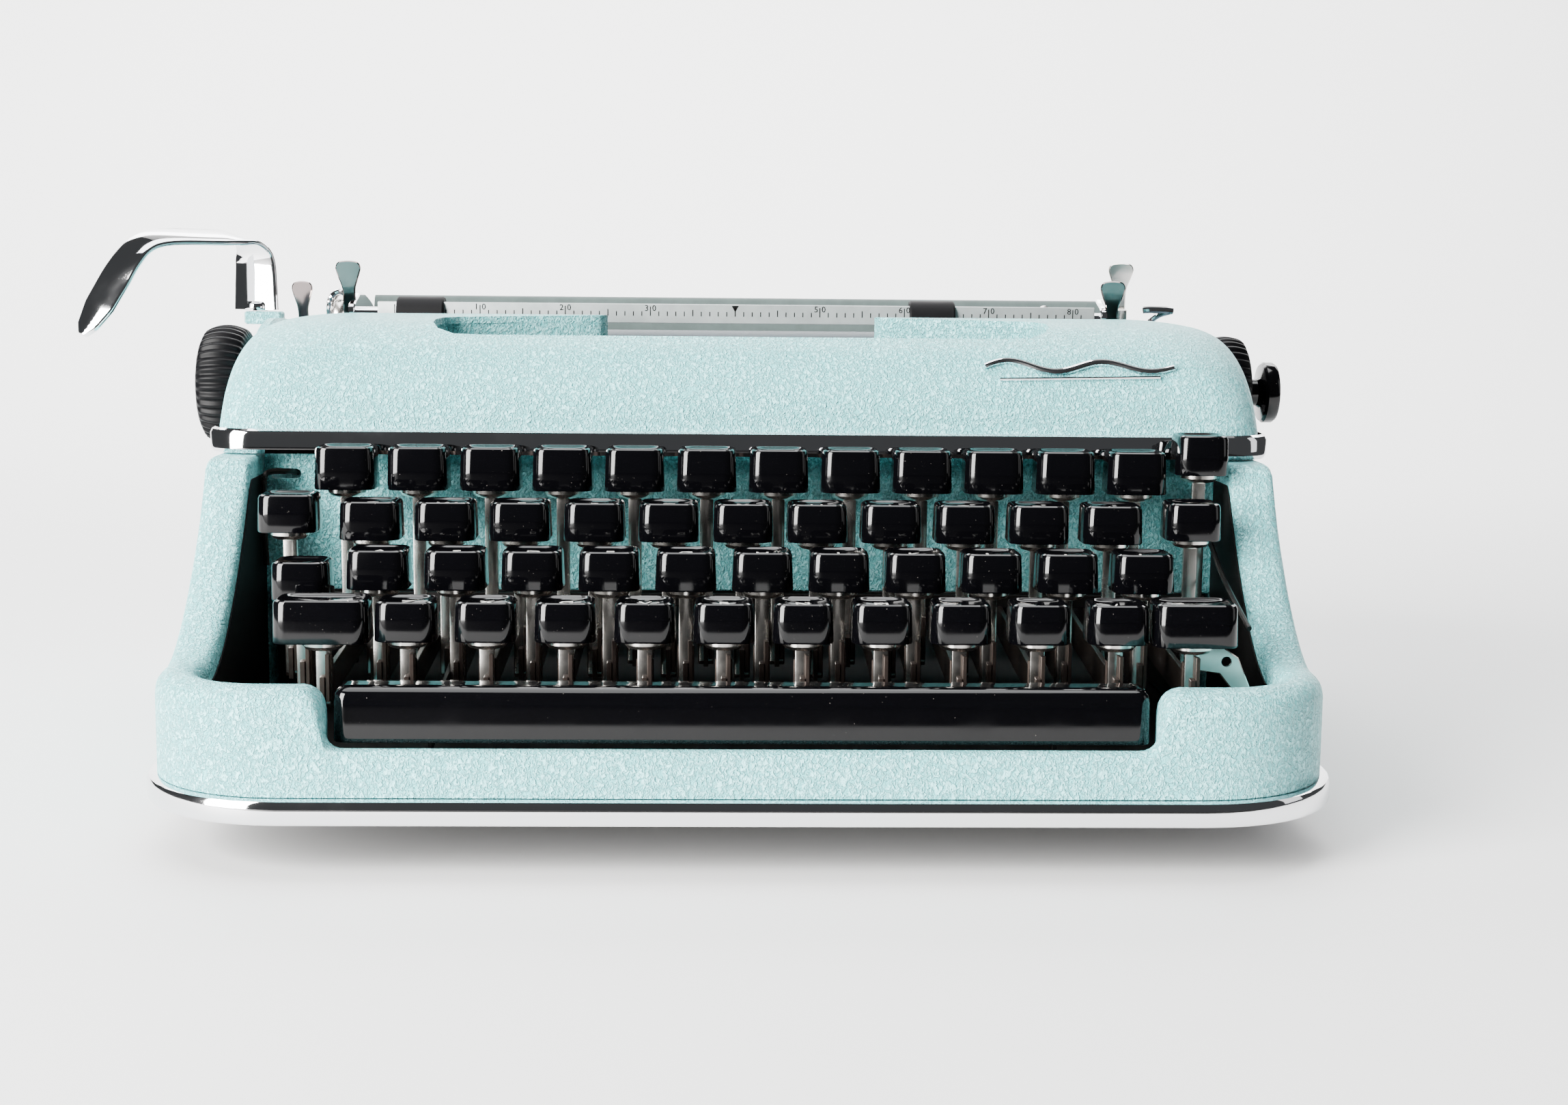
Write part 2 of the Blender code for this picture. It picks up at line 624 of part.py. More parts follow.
def platen():
    """Rubber roller, axle, both knobs and the right knob's push button."""
    y, z = PLATEN_Y, PLATEN_Z
    inner = (END_LEFT[1] + 1.5, END_RIGHT[0] - 1.5)
    made = rod_x("platen", y, z, PLATEN_RADIUS, inner[0], inner[1], 24)
    join(made, rod_x("axle", y, z, AXLE_RADIUS, KNOB_LEFT[1] - 2, KNOB_RIGHT[0] + 2))
    join(made, rod_x("left_knob", y, z, KNOB_LEFT[2], KNOB_LEFT[0], KNOB_LEFT[1], 24))
    join(made, rod_x("right_knob", y, z, KNOB_RIGHT[2], KNOB_RIGHT[0], KNOB_RIGHT[1], 24))
    join(made, rod_x("shaft", y, z, BUTTON_SHAFT, KNOB_RIGHT[1] - 2, BUTTON_DISC[0] + 1, 10))
    join(made, rod_x("button", y, z, BUTTON_DISC[2], BUTTON_DISC[0], BUTTON_DISC[1], 16))
    return keep(made, "rubber", (0, y, z))


def paper_bail():
    """Scale bar with two rollers and an arm at each end."""
    made = rod_x("paper_bail", BAIL_Y, BAIL_Z, BAIL_ROD_RADIUS, BAIL_BAR[0], BAIL_BAR[1], 8)
    bottom = BAIL_Z - SCALE_UNDER
    low = (BAIL_BAR[0] + 8, BAIL_Y - 3.2, bottom)
    high = (BAIL_BAR[1] - 3, BAIL_Y - 1, bottom + SCALE_HEIGHT)
    join(made, box("scale", low, high))
    for low, high in BAIL_ROLLERS:
        join(made, rod_x("roller", BAIL_Y, BAIL_Z, BAIL_ROLLER_RADIUS, low, high))
    pivot_y, pivot_z = BAIL_PIVOT
    top = BAIL_Z + BAIL_TAB
    outline = [(pivot_y + 1, pivot_z - 3), (pivot_y + 1, pivot_z + 3), (BAIL_Y + 5, BAIL_Z + 4)]
    outline += [(BAIL_Y + 4, top), (BAIL_Y, top), (BAIL_Y - 3, BAIL_Z + 3), (BAIL_Y - 3, BAIL_Z - 3)]
    for low in (BAIL_BAR[0] - 1, BAIL_BAR[1] - BAIL_ARM + 1):
        join(made, prism_x("arm", outline, low, low + BAIL_ARM))
    return keep(made, "chrome", (0, pivot_y, pivot_z))


def return_lever():
    """A bent strip that rises from the carriage's left end, runs out left and turns down."""
    turn = math.radians(LEVER_TURN)
    along = (math.cos(turn), math.sin(turn))
    across = (-along[1], along[0])
    foot = PLATEN_Z + PLATEN_RADIUS + LEVER_LIFT
    rings = []
    for i, (s, z) in enumerate(LEVER_PATH):
        before = LEVER_PATH[max(i - 1, 0)]
        after = LEVER_PATH[min(i + 1, len(LEVER_PATH) - 1)]
        length = math.hypot(after[0] - before[0], after[1] - before[1])
        normal = (-(after[1] - before[1]) / length, (after[0] - before[0]) / length)
        ring = []
        for side, lift in ((-1, -1), (1, -1), (1, 1), (-1, 1)):
            out = s + normal[0] * lift * LEVER_SHEET / 2
            wide = side * LEVER_STRIP / 2
            x = LEVER_PIVOT[0] + along[0] * out + across[0] * wide
            y = LEVER_PIVOT[1] + along[1] * out + across[1] * wide
            ring.append((x, y, foot + z + normal[1] * lift * LEVER_SHEET / 2))
        rings.append(ring)
    made = loft("return_lever", rings)
    radius, below, above = LEVER_BOSS
    turns = [2 * math.pi * (i + 0.5) / 12 for i in range(12)]
    circle = [(LEVER_PIVOT[0] + radius * math.cos(a), LEVER_PIVOT[1] + radius * math.sin(a)) for a in turns]
    join(made, prism_z("boss", circle, foot - below, foot + above))
    return keep(made, "chrome", (LEVER_PIVOT[0], LEVER_PIVOT[1], foot - below))


def release_lever(name, low, high, y, top):
    """A flat finger tab that widens to its rounded top."""
    middle, half = (low + high) / 2, (high - low) / 2
    outline = [(middle - half * 0.6, RELEASE_PIVOT_Z), (middle + half * 0.6, RELEASE_PIVOT_Z)]
    outline += [(middle + half * 0.7, top - 12), (high, top - 5), (high - 1, top - 1), (middle, top)]
    outline += [(low + 1, top - 1), (low, top - 5), (middle - half * 0.7, top - 12)]
    rings = [[(x, y + offset, z) for x, z in outline] for offset in (0, RELEASE_SHEET)]
    return keep(loft(name, rings), "chrome", (middle, y, RELEASE_PIVOT_Z))


for old in list(bpy.data.objects):
    bpy.data.objects.remove(old)

frame = bpy.data.objects.new("typewriter_frame", None)
centre_x, centre_y = footprint_centre()
frame.location = (-centre_x * MM, -centre_y * MM, 0)
bpy.context.scene.collection.objects.link(frame)

chassis()
body_shell()
ribbon_cover()
character_keys()
side_keys()
shift_keys()
space_bar()
carriage_rail()
carriage()
platen()
paper_bail()
return_lever()
release_lever("carriage_release_lever", *RELEASE_LEFT)
release_lever("paper_release_lever", *RELEASE_RIGHT)
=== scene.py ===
import math

import bmesh
import bpy
import numpy as np
from mathutils import Matrix, Vector


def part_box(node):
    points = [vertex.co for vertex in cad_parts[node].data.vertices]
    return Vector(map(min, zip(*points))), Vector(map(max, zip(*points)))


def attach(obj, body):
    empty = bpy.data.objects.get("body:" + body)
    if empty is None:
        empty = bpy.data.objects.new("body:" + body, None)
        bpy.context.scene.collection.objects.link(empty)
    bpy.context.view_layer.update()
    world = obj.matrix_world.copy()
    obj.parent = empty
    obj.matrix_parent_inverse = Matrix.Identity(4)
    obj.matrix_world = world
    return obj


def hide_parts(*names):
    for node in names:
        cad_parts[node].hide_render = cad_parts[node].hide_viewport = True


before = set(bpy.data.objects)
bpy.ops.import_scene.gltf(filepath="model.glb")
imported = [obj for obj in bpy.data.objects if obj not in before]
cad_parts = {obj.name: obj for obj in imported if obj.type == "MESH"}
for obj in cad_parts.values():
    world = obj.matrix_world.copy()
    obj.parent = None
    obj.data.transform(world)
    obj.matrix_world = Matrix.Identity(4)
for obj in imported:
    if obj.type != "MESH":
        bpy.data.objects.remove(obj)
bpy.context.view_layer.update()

# Lengths are in millimetres from the middle of the casing's front edge on the table.
shellLow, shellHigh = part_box("body_shell")
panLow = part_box("chassis")[0]
origin = np.array([(shellLow.x + shellHigh.x) / 2, panLow.y, 0.0])


def gridFaces(rowCount, colCount, wrapRows, wrapCols):
    # Quads between neighbours of a grid, joined across its ends where it wraps.
    r = np.arange(rowCount if wrapRows else rowCount - 1)[:, None]
    c = np.arange(colCount if wrapCols else colCount - 1)[None, :]
    r2, c2 = (r + 1) % rowCount, (c + 1) % colCount
    corners = [r * colCount + c, r * colCount + c2, r2 * colCount + c2, r2 * colCount + c]
    return np.stack(np.broadcast_arrays(*corners), -1).reshape(-1, 4).tolist()


def loft(rings, closed=False, caps=True):
    # Rings of points joined by quads, with a face over each end.
    rings = np.asarray(rings, float)
    rowCount, colCount = rings.shape[:2]
    faces = gridFaces(rowCount, colCount, closed, True)
    if caps and not closed:
        faces += [list(range(colCount)), list(range((rowCount - 1) * colCount, rowCount * colCount))]
    return rings.reshape(-1, 3), faces


def merged(shapes):
    points, faces, start = [], [], 0
    for verts, quads in shapes:
        points.append(verts)
        faces += [[start + i for i in face] for face in quads]
        start += len(verts)
    return np.concatenate(points), faces


def moved(shape, by=(0, 0, 0), turn=None):
    verts = shape[0]
    if turn is not None:
        verts = verts @ np.array(turn).T
    return verts + np.array(by, float), shape[1]


def turned(axis, degrees):
    return np.array(Matrix.Rotation(math.radians(degrees), 3, axis))


def smoothstep(t):
    # Three t squared less two t cubed, with t held between 0 and 1.
    t = np.clip(t, 0, 1)
    return t * t * (3 - 2 * t)


def curve(points, count):
    # Catmull-Rom through the points: each span blends its four nearest points by a cubic.
    p = np.asarray(points, float)
    p = np.concatenate([[2 * p[0] - p[1]], p, [2 * p[-1] - p[-2]]])
    u = np.linspace(0, len(p) - 3 - 1e-9, count)
    i = u.astype(int)
    t = (u - i)[:, None]
    a, b, c, d = p[i], p[i + 1], p[i + 2], p[i + 3]
    return 0.5 * (2 * b + (c - a) * t + (2 * a - 5 * b + 4 * c - d) * t**2 + (3 * b - a - 3 * c + d) * t**3)


def roundRect(halfX, halfY, corner, steps=5):
    # Four quarter circles, one in each corner.
    turns = np.radians(np.arange(4)[:, None] * 90 + np.linspace(0, 90, steps)[None, :]).ravel()
    signX = np.repeat([1, -1, -1, 1], steps)
    signY = np.repeat([1, 1, -1, -1], steps)
    x = signX * (halfX - corner) + corner * np.cos(turns)
    y = signY * (halfY - corner) + corner * np.sin(turns)
    return np.stack([x, y], -1)


def shrunk(outline, by):
    # Each point moves inwards along the mean of its two edges' normals.
    p = np.asarray(outline, float)
    edge = np.roll(p, -1, 0) - p
    edge /= np.maximum(np.linalg.norm(edge, axis=1, keepdims=True), 1e-9)
    normal = np.stack([-edge[:, 1], edge[:, 0]], -1)
    mean = normal + np.roll(normal, 1, 0)
    mean /= np.maximum(np.linalg.norm(mean, axis=1, keepdims=True), 1e-9)
    area = np.sum(p[:, 0] * np.roll(p[:, 1], -1) - np.roll(p[:, 0], -1) * p[:, 1])
    return p + mean * by * np.sign(area)


def plate(outline, low, high, axis="z", bevel=0.25):
    # An outline carried along an axis, with a small bevel at both ends.
    levels = [(low, bevel), (low + bevel, 0), (high - bevel, 0), (high, bevel)]
    rings = []
    for level, inset in levels:
        flat = shrunk(outline, inset)
        rings.append(np.insert(flat, "xyz".index(axis), level, axis=1))
    return loft(rings)


def brick(low, high, corner=0.6, bevel=0.3):
    # A rounded rectangle carried straight up.
    low, high = np.array(low, float), np.array(high, float)
    middle, half = (low + high) / 2, (high - low) / 2
    outline = roundRect(half[0], half[1], min(corner, half[0] * 0.9, half[1] * 0.9), 3) + middle[:2]
    return plate(outline, low[2], high[2], "z", min(bevel, half[2] * 0.4))


def lathe(profile, steps=24, axis="z", at=(0, 0, 0)):
    # A profile of (radius, height) turned about an axis.
    turns = np.linspace(0, 2 * np.pi, steps, endpoint=False)
    rings = [np.stack([r * np.cos(turns), r * np.sin(turns), np.full(steps, h)], -1) for r, h in profile]
    verts, faces = loft(rings)
    order = {"z": (0, 1, 2), "x": (2, 0, 1), "y": (1, 2, 0)}[axis]
    return verts[:, order] + np.array(at, float), faces


def tube(points, radius, sides=10, count=0):
    # Circles carried along a path, each turned to face the next.
    p = curve(points, count) if count else np.asarray(points, float)
    ahead = np.gradient(p, axis=0)
    ahead /= np.linalg.norm(ahead, axis=1, keepdims=True)
    side = np.cross(ahead, [0.13, 0.21, 0.97])
    side /= np.linalg.norm(side, axis=1, keepdims=True)
    up = np.cross(side, ahead)
    turns = np.linspace(0, 2 * np.pi, sides, endpoint=False)[None, :, None]
    r = np.broadcast_to(np.asarray(radius, float), (len(p),))[:, None, None]
    return loft(p[:, None] + r * (np.cos(turns) * side[:, None] + np.sin(turns) * up[:, None]))


def ribbonStrip(points, widths, across, thick, corner=0.5):
    # A flat strip with rounded edges along a path. "across" is the width's direction at each point.
    p = np.asarray(points, float)
    ahead = np.gradient(p, axis=0)
    ahead /= np.linalg.norm(ahead, axis=1, keepdims=True)
    across = np.asarray(across, float)
    across = across - np.sum(across * ahead, 1, keepdims=True) * ahead
    across /= np.linalg.norm(across, axis=1, keepdims=True)
    normal = np.cross(ahead, across)
    rings = []
    for i in range(len(p)):
        flat = roundRect(widths[i] / 2, thick / 2, min(corner, thick * 0.45), 3)
        rings.append(p[i] + flat[:, :1] * across[i] + flat[:, 1:] * normal[i])
    return loft(rings)


def pushMesh(name, shape):
    verts, faces = shape
    mesh = bpy.data.meshes.new(name)
    mesh.from_pydata((verts * 0.001 + origin).tolist(), [], faces)
    work = bmesh.new()
    work.from_mesh(mesh)
    bmesh.ops.recalc_face_normals(work, faces=work.faces)
    work.to_mesh(mesh)
    work.free()
    made = bpy.data.objects.new(name, mesh)
    bpy.context.scene.collection.objects.link(made)
    return made


def smoothed(made, angle=35):
    made.data.shade_smooth()
    made.data.set_sharp_from_angle(angle=math.radians(angle))
    return made


def cutAway(target, tool):
    modifier = target.modifiers.new("cut", "BOOLEAN")
    modifier.operation = "DIFFERENCE"
    modifier.solver = "EXACT"
    modifier.object = tool
    bpy.context.view_layer.update()
    graph = bpy.context.evaluated_depsgraph_get()
    result = bpy.data.meshes.new_from_object(target.evaluated_get(graph))
    target.modifiers.clear()
    target.data = result
    bpy.data.objects.remove(tool)
    return target


def finishPiece(made, finish, body, replaces=(), angle=35):
    made.data.materials.clear()
    made.data.materials.append(finish)
    smoothed(made, angle)
    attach(made, body)
    if replaces:
        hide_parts(*replaces)
    return made


def piece(name, shapes, finish, body, replaces=(), angle=35):
    return finishPiece(pushMesh(name, merged(shapes)), finish, body, replaces, angle)


# Finishes


class Socket:
    def __init__(self, graph, socket):
        self.graph = graph
        self.socket = socket

    def math(self, kind, *others):
        return self.graph.node("ShaderNodeMath", {"operation": kind}, dict(enumerate((self,) + others)))

    def __add__(self, other):
        return self.math("ADD", other)

    def __mul__(self, other):
        return self.math("MULTIPLY", other)

    def __sub__(self, other):
        return self.math("SUBTRACT", other)

    def __rsub__(self, other):
        return self.graph.node("ShaderNodeMath", {"operation": "SUBTRACT"}, {0: other, 1: self})

    __radd__ = __add__
    __rmul__ = __mul__

    def between(self, low, high):
        settings = {"interpolation_type": "SMOOTHSTEP"}
        inputs = {"Value": self, "From Min": low, "From Max": high}
        return self.graph.node("ShaderNodeMapRange", settings, inputs)


class Finish:
    def __init__(self, name, **constants):
        self.made = bpy.data.materials.new(name)
        self.made.use_nodes = True
        self.tree = self.made.node_tree
        self.shader = self.tree.nodes["Principled BSDF"]
        for socketName, value in constants.items():
            self.put(socketName, value)
        self.place = self.node("ShaderNodeTexCoord", {}, {}, "Object")

    def put(self, socketName, value):
        target = self.shader.inputs[socketName.replace("_", " ")]
        if isinstance(value, Socket):
            self.tree.links.new(value.socket, target)
        else:
            target.default_value = value
        return self

    def node(self, kind, settings, inputs, output=0):
        made = self.tree.nodes.new(kind)
        for key, value in settings.items():
            setattr(made, key, value)
        for key, value in inputs.items():
            if isinstance(value, Socket):
                self.tree.links.new(value.socket, made.inputs[key])
            else:
                made.inputs[key].default_value = value
        return Socket(self, made.outputs[output])

    def noise(self, scale, detail=2.0, rough=0.5, distortion=0.0, stretch=(1, 1, 1)):
        place = self.node("ShaderNodeMapping", {}, {"Vector": self.place, "Scale": stretch})
        inputs = {"Vector": place, "Scale": scale, "Detail": detail}
        inputs.update({"Roughness": rough, "Distortion": distortion})
        return self.node("ShaderNodeTexNoise", {}, inputs)

    def mix(self, factor, first, second):
        settings = {"data_type": "RGBA"}
        return self.node("ShaderNodeMix", settings, {0: factor, 6: first, 7: second}, 2)

    def bump(self, height, strength, distance):
        return self.node("ShaderNodeBump", {}, {"Height": height, "Strength": strength, "Distance": distance})


def enamel():
    # Wrinkles: a smooth step of warped noise, with finer noise on top. The valleys are painted darker as
    # shade.
    made = Finish("wrinkle_enamel", Specular_IOR_Level=0.45)
    coarse = made.noise(1150, 3, 0.55, 0.9, (1.0, 0.85, 0.75))
    fine = made.noise(2300, 2, 0.5, 0.6)
    ridges = coarse.between(0.38, 0.62)
    tone = made.noise(14, 3)
    pale = made.mix(tone.between(0.3, 0.7), (0.330, 0.850, 0.880, 1), (0.355, 0.875, 0.900, 1))
    # Painted shade: the wrinkle valleys take the darker colour and the ridge tops the pale one.
    made.put("Base Color", made.mix(ridges.between(0.0, 0.8), (0.165, 0.600, 0.620, 1), pale))
    made.put("Roughness", 0.30 + tone * 0.10)
    made.put("Normal", made.bump(ridges * 0.8 + fine * 0.3, 1.0, 0.0009))
    return made.made


def chromeFinish(name, colour, rough, smudge=0.06):
    # Bare metal. Its roughness rises with a smooth step of cloud noise.
    made = Finish(name, Metallic=1.0)
    cloud = made.noise(60, 4, 0.6)
    made.put("Base Color", colour)
    made.put("Roughness", rough + cloud.between(0.45, 0.75) * smudge)
    return made.made


def glossBlack():
    # Near black. Slow noise hazes the gloss, and the peaks of fine noise are specks of pale, dull dust.
    made = Finish("gloss_black", Specular_IOR_Level=0.34)
    dust = made.noise(1900, 2, 0.5).between(0.74, 0.80)
    haze = made.noise(90, 3).between(0.4, 0.75)
    made.put("Base Color", made.mix(dust, (0.0010, 0.0010, 0.0014, 1), (0.12, 0.11, 0.10, 1)))
    made.put("Roughness", 0.07 + haze * 0.06 + dust * 0.4)
    return made.made


def plain(name, colour, rough, metallic=0.0, grain=0.0, scale=300, depth=0.0001, spread=0.08):
    # One colour, darkened by a smooth step of cloud noise, with a bump of finer noise where it has grain.
    made = Finish(name, Metallic=metallic, Specular_IOR_Level=0.1 if max(colour[:3]) < 0.12 else 0.4)
    cloud = made.noise(scale * 0.2, 4, 0.6)
    darker = tuple(channel * (1 - spread * 2) for channel in colour[:3]) + (1,)
    made.put("Base Color", made.mix(cloud.between(0.3, 0.7), darker, colour))
    made.put("Roughness", rough + cloud * 0.1 - 0.05)
    if grain:
        made.put("Normal", made.bump(made.noise(scale, 3), grain, depth))
    return made.made


def floorFinish():
    # Pale under the object, falling to dark far in front: painted shade standing in for a dark room, so that
    # bright metal has something dark to reflect.
    made = Finish("studio_grey", Specular_IOR_Level=0.2)
    ahead = made.node("ShaderNodeSeparateXYZ", {}, {0: made.place}, 1)
    dark, pale = (0.005, 0.005, 0.005, 1), (0.78, 0.78, 0.78, 1)
    made.put("Base Color", made.mix(ahead.between(-0.325, -0.285), dark, pale))
    made.put("Roughness", made.noise(20, 2) * 0.1 + 0.6)
    return made.made


paint = enamel()
chrome = chromeFinish("bright_chrome", (0.86, 0.86, 0.88, 1), 0.045)
nickel = chromeFinish("worn_nickel", (0.74, 0.71, 0.67, 1), 0.20, 0.12)
tabSteel = chromeFinish("dark_bright_steel", (0.24, 0.205, 0.20, 1), 0.10)
blackPlastic = glossBlack()
knobBlack = plain("knob_black", (0.0015, 0.0015, 0.002, 1), 0.42, 0.0, 0.15, 900)
leverSteel = plain("bronzed_steel", (0.085, 0.066, 0.058, 1), 0.32, 0.8, 0.1, 500, spread=0.2)
darkSteel = plain("dark_steel", (0.03, 0.028, 0.027, 1), 0.42, 0.8, 0.1, 500, spread=0.2)
# Paper table: its own grey-green paint, darkened further as painted shade.
tableGreyShade = plain("table_grey_and_painted_shade", (0.085, 0.112, 0.108, 1), 0.45, 0.0, 0.1, 900)
# Platen: black rubber, with a painted blue-grey reflection of sky light in its colour.
platenRubber = plain("platen_rubber", (0.050, 0.078, 0.095, 1), 0.38, 0.0, 0.08, 700)
blackRubber = plain("black_rubber", (0.004, 0.004, 0.0045, 1), 0.55, 0.0, 0.12, 1200)
scalePaint = plain("scale_plate", (0.36, 0.39, 0.39, 1), 0.33, 0.25, 0.05, 800)
inkBlack = plain("ink_black", (0.006, 0.006, 0.006, 1), 0.5)
legendWhite = plain("legend_white", (0.75, 0.74, 0.70, 1), 0.4)
ribbonCloth = plain("ribbon_cloth", (0.02, 0.02, 0.024, 1), 0.75, 0.0, 0.4, 2600)
# Painted shade: a flat near-black for sheets that stand where there is only shadow.
shadowSheetBlack = plain("painted_shade_black", (0.004, 0.004, 0.004, 1), 0.6)
print("finishes made")


# Casing

case = {"half": 141.5, "front": 1.7, "rear": 299.7, "corner": 35.0, "bottom": 19.2, "frontTop": 44.0,
        "arm": 11.5, "shoulder": 88.7, "deck": 80.0, "deckPlate": 38.0, "edge": 5.5, "notch": 96.0,
        "sill": 30.0, "sweepFrom": 38.0, "sweepTo": 88.7}
trim = {"proud": 2.5, "low": 13.0, "high": 19.0}


def caseHeight(y):
    # Low front, arms that rise as a power of the distance, level shoulder, then a step down to the deck.
    t = np.clip((y - case["sweepFrom"]) / (case["sweepTo"] - case["sweepFrom"]), 0, 1)
    top = case["frontTop"] + (case["shoulder"] - case["frontTop"]) * t**1.7
    return top + (case["deck"] - case["shoulder"]) * smoothstep((y - 171.5) / 3.0)


def arc(centre, radius, start, stop, count):
    # Centre plus radius times the cosine and sine of the angle.
    turns = np.radians(np.linspace(start, stop, count))
    return np.stack([centre[0] + radius * np.cos(turns), centre[1] + radius * np.sin(turns)], -1)


def caseShape():
    # Right half of the ring: outer line, matching inner line, and the height of the top at each.
    half, front, rear, r = case["half"], case["front"], case["rear"], case["corner"]
    well, ledge, plateY = half - case["arm"], front + case["arm"], rear - case["deckPlate"]
    notch, sill, top = case["notch"], case["sill"], case["frontTop"]
    stations = []
    thin = front + 5.0
    for x in (0, 20, 40, 60, 80, notch - 5):
        stations.append((x, front, x, thin, sill, 2.4, 1.4, (0, -1)))
    for x, z in arc((notch - 4, sill + 4), 4, -80, 0, 5):
        stations.append((x, front, x, thin, z, 2.4, 1.4, (0, -1)))
    for x, z in arc((notch + 5.8, top - 5), 5, 180, 95, 6):
        stations.append((x, front, x, ledge, z, 4.5, 2.6, (0, -1)))
    for x in (104, 106):
        stations.append((x, front, x, ledge, top, case["edge"], 3.0, (0, -1)))
    outerArc = arc((half - r, front + r), r, -90, 0, 11)
    innerArc = arc((well - 18, ledge + 18), 18, -90, 0, 11)
    for (ox, oy), (ix, iy), a in zip(outerArc, innerArc, np.linspace(-90, 0, 11)):
        n = (math.cos(math.radians(a)), math.sin(math.radians(a)))
        stations.append((ox, oy, ix, iy, top, case["edge"], 3.0, n))
    sideYs = list(np.linspace(38, 92, 30)) + [96, 100, 110, 140, 168]
    sideYs += [171.4, 172, 172.8, 173.6, 174.6, 178, 200, 225, 250]
    for y in sideYs:
        # The rounded lip sharpens under the cover and comes back on the deck.
        under = smoothstep((y - 78) / 18)
        lip = case["edge"] + (1.3 - case["edge"]) * under + 4.7 * smoothstep((y - 173) / 3)
        stations.append((half, y, well, y, None, lip, 3.0 - 1.8 * under, (1, 0)))
    outerArc = arc((half - r, rear - r), r, 0, 90, 9)
    innerArc = arc((well - 6, plateY - 6), 6, 0, 90, 9)
    for (ox, oy), (ix, iy), a in zip(outerArc, innerArc, np.linspace(0, 90, 9)):
        n = (math.cos(math.radians(a)), math.sin(math.radians(a)))
        stations.append((ox, oy, ix, iy, None, 6 + 3 * smoothstep(a / 90), 1.2, n))
    for x in (96, 64, 32, 0):
        stations.append((x, rear, x, plateY, None, 9.0, 1.2, (0, 1)))
    stations += [(-s[0], s[1], -s[2], *s[3:7], (-s[7][0], s[7][1])) for s in reversed(stations[1:-1])]
    rings = []
    low = case["bottom"]
    for ox, oy, ix, iy, height, lip, innerLip, n in stations:
        outer, inner, n = np.array([ox, oy]), np.array([ix, iy]), np.array(n)
        topOut = caseHeight(oy) if height is None else height
        topIn = caseHeight(iy) if height is None else height
        wall = 1.2 if iy == thin else 2.2
        turnsUp = np.radians(np.linspace(0, 90, 7))
        ring = [(*outer, low), (*outer, low + 4), (*outer, (low + topOut - lip) / 2)]
        ring += [(*(outer - n * lip * (1 - math.cos(a))), topOut - lip + lip * math.sin(a)) for a in turnsUp]
        edgeOut, edgeIn = outer - n * lip, inner + n * innerLip
        ring.append((*(edgeOut * 0.5 + edgeIn * 0.5), (topOut + topIn) / 2))
        ring += [(*(inner + n * innerLip * (1 - math.cos(a))), topIn - innerLip + innerLip * math.sin(a))
                 for a in turnsUp[::-1][::2]]
        floor = low + 1.0 if iy < 260 and abs(ix) > 90 and oy < 170 or iy < 30 else topIn - 3.4
        inside, outside = inner + n * wall, outer - n * wall
        ring += [(*inner, floor), (*inside, floor), (*inside, topIn - innerLip - wall)]
        ring += [(*outside, topOut - lip - wall), (*outside, low)]
        rings.append(ring)
    return loft(rings, closed=True)


piece("casing", [caseShape()], paint, "frame", ["body_shell"], 50)


def backPanel():
    # An upright plate behind the keys with a rounded slot cut through it.
    y, low, high, half = 106.0, 51.5, 89.0, 129.8
    slotX, slotZ = -124.0, 83.1
    made = pushMesh("back_panel", brick((-half, y, low), (half, y + 2, high), 0.4, 0.4))
    slot = plate(roundRect(4.2, 1.4, 1.3) + (slotX, slotZ), y - 3, y + 6, "y")
    cutAway(made, pushMesh("slot", slot))
    return finishPiece(made, paint, "frame")


backPanel()
wire = [(-121, 107.5, 83.3), (-123, 103, 84.1), (-127.6, 100, 83.9), (-128.4, 98.5, 80.5)]
wire += [(-128.4, 98, 69), (-128.3, 99, 59)]
piece("margin_wire", [tube(wire, 0.8, 8, 28)], darkSteel, "frame")


def bandRings(profile, half, front, rear, corner, steps=12):
    # A profile of (out, height) carried around the front of a rounded plan, left to right.
    left = arc((-half + corner, front + corner), corner, 180, 270, steps)
    right = arc((half - corner, front + corner), corner, 270, 360, steps)
    path = np.concatenate([[(-half, rear)], left, right, [(half, rear)]])
    leftNormal, rightNormal = arc((0, 0), 1, 180, 270, steps), arc((0, 0), 1, 270, 360, steps)
    normal = np.concatenate([[(-1, 0)], leftNormal, rightNormal, [(1, 0)]])
    profile = np.asarray(profile, float)
    flat = path[:, None] + normal[:, None] * profile[None, :, :1]
    return np.concatenate([flat, np.broadcast_to(profile[None, :, 1:], flat.shape[:2] + (1,))], -1)


def baseTrim():
    # A closed band with rounded outer edges, carried round the whole plan.
    proud, low, high = trim["proud"], trim["low"], trim["high"]
    profile = [(-2.2, low + 0.2), (proud - 1.1, low), (proud - 0.4, low + 0.2), (proud, low + 0.9)]
    profile += [(proud, high - 1.1), (proud - 0.4, high - 0.3), (proud - 1.1, high), (-2.2, high - 0.1)]
    plan = roundRect(case["half"], (case["rear"] - case["front"]) / 2, case["corner"], 12)
    turns = np.radians(np.arange(4)[:, None] * 90 + np.linspace(0, 90, 12)[None, :]).ravel()
    normal = np.stack([np.cos(turns), np.sin(turns)], -1)
    profile = np.asarray(profile)
    flat = plan[:, None] + normal[:, None] * profile[None, :, :1] + [0, (case["rear"] + case["front"]) / 2]
    rings = np.concatenate([flat, np.broadcast_to(profile[None, :, 1:], flat.shape[:2] + (1,))], -1)
    return loft(rings, closed=True)


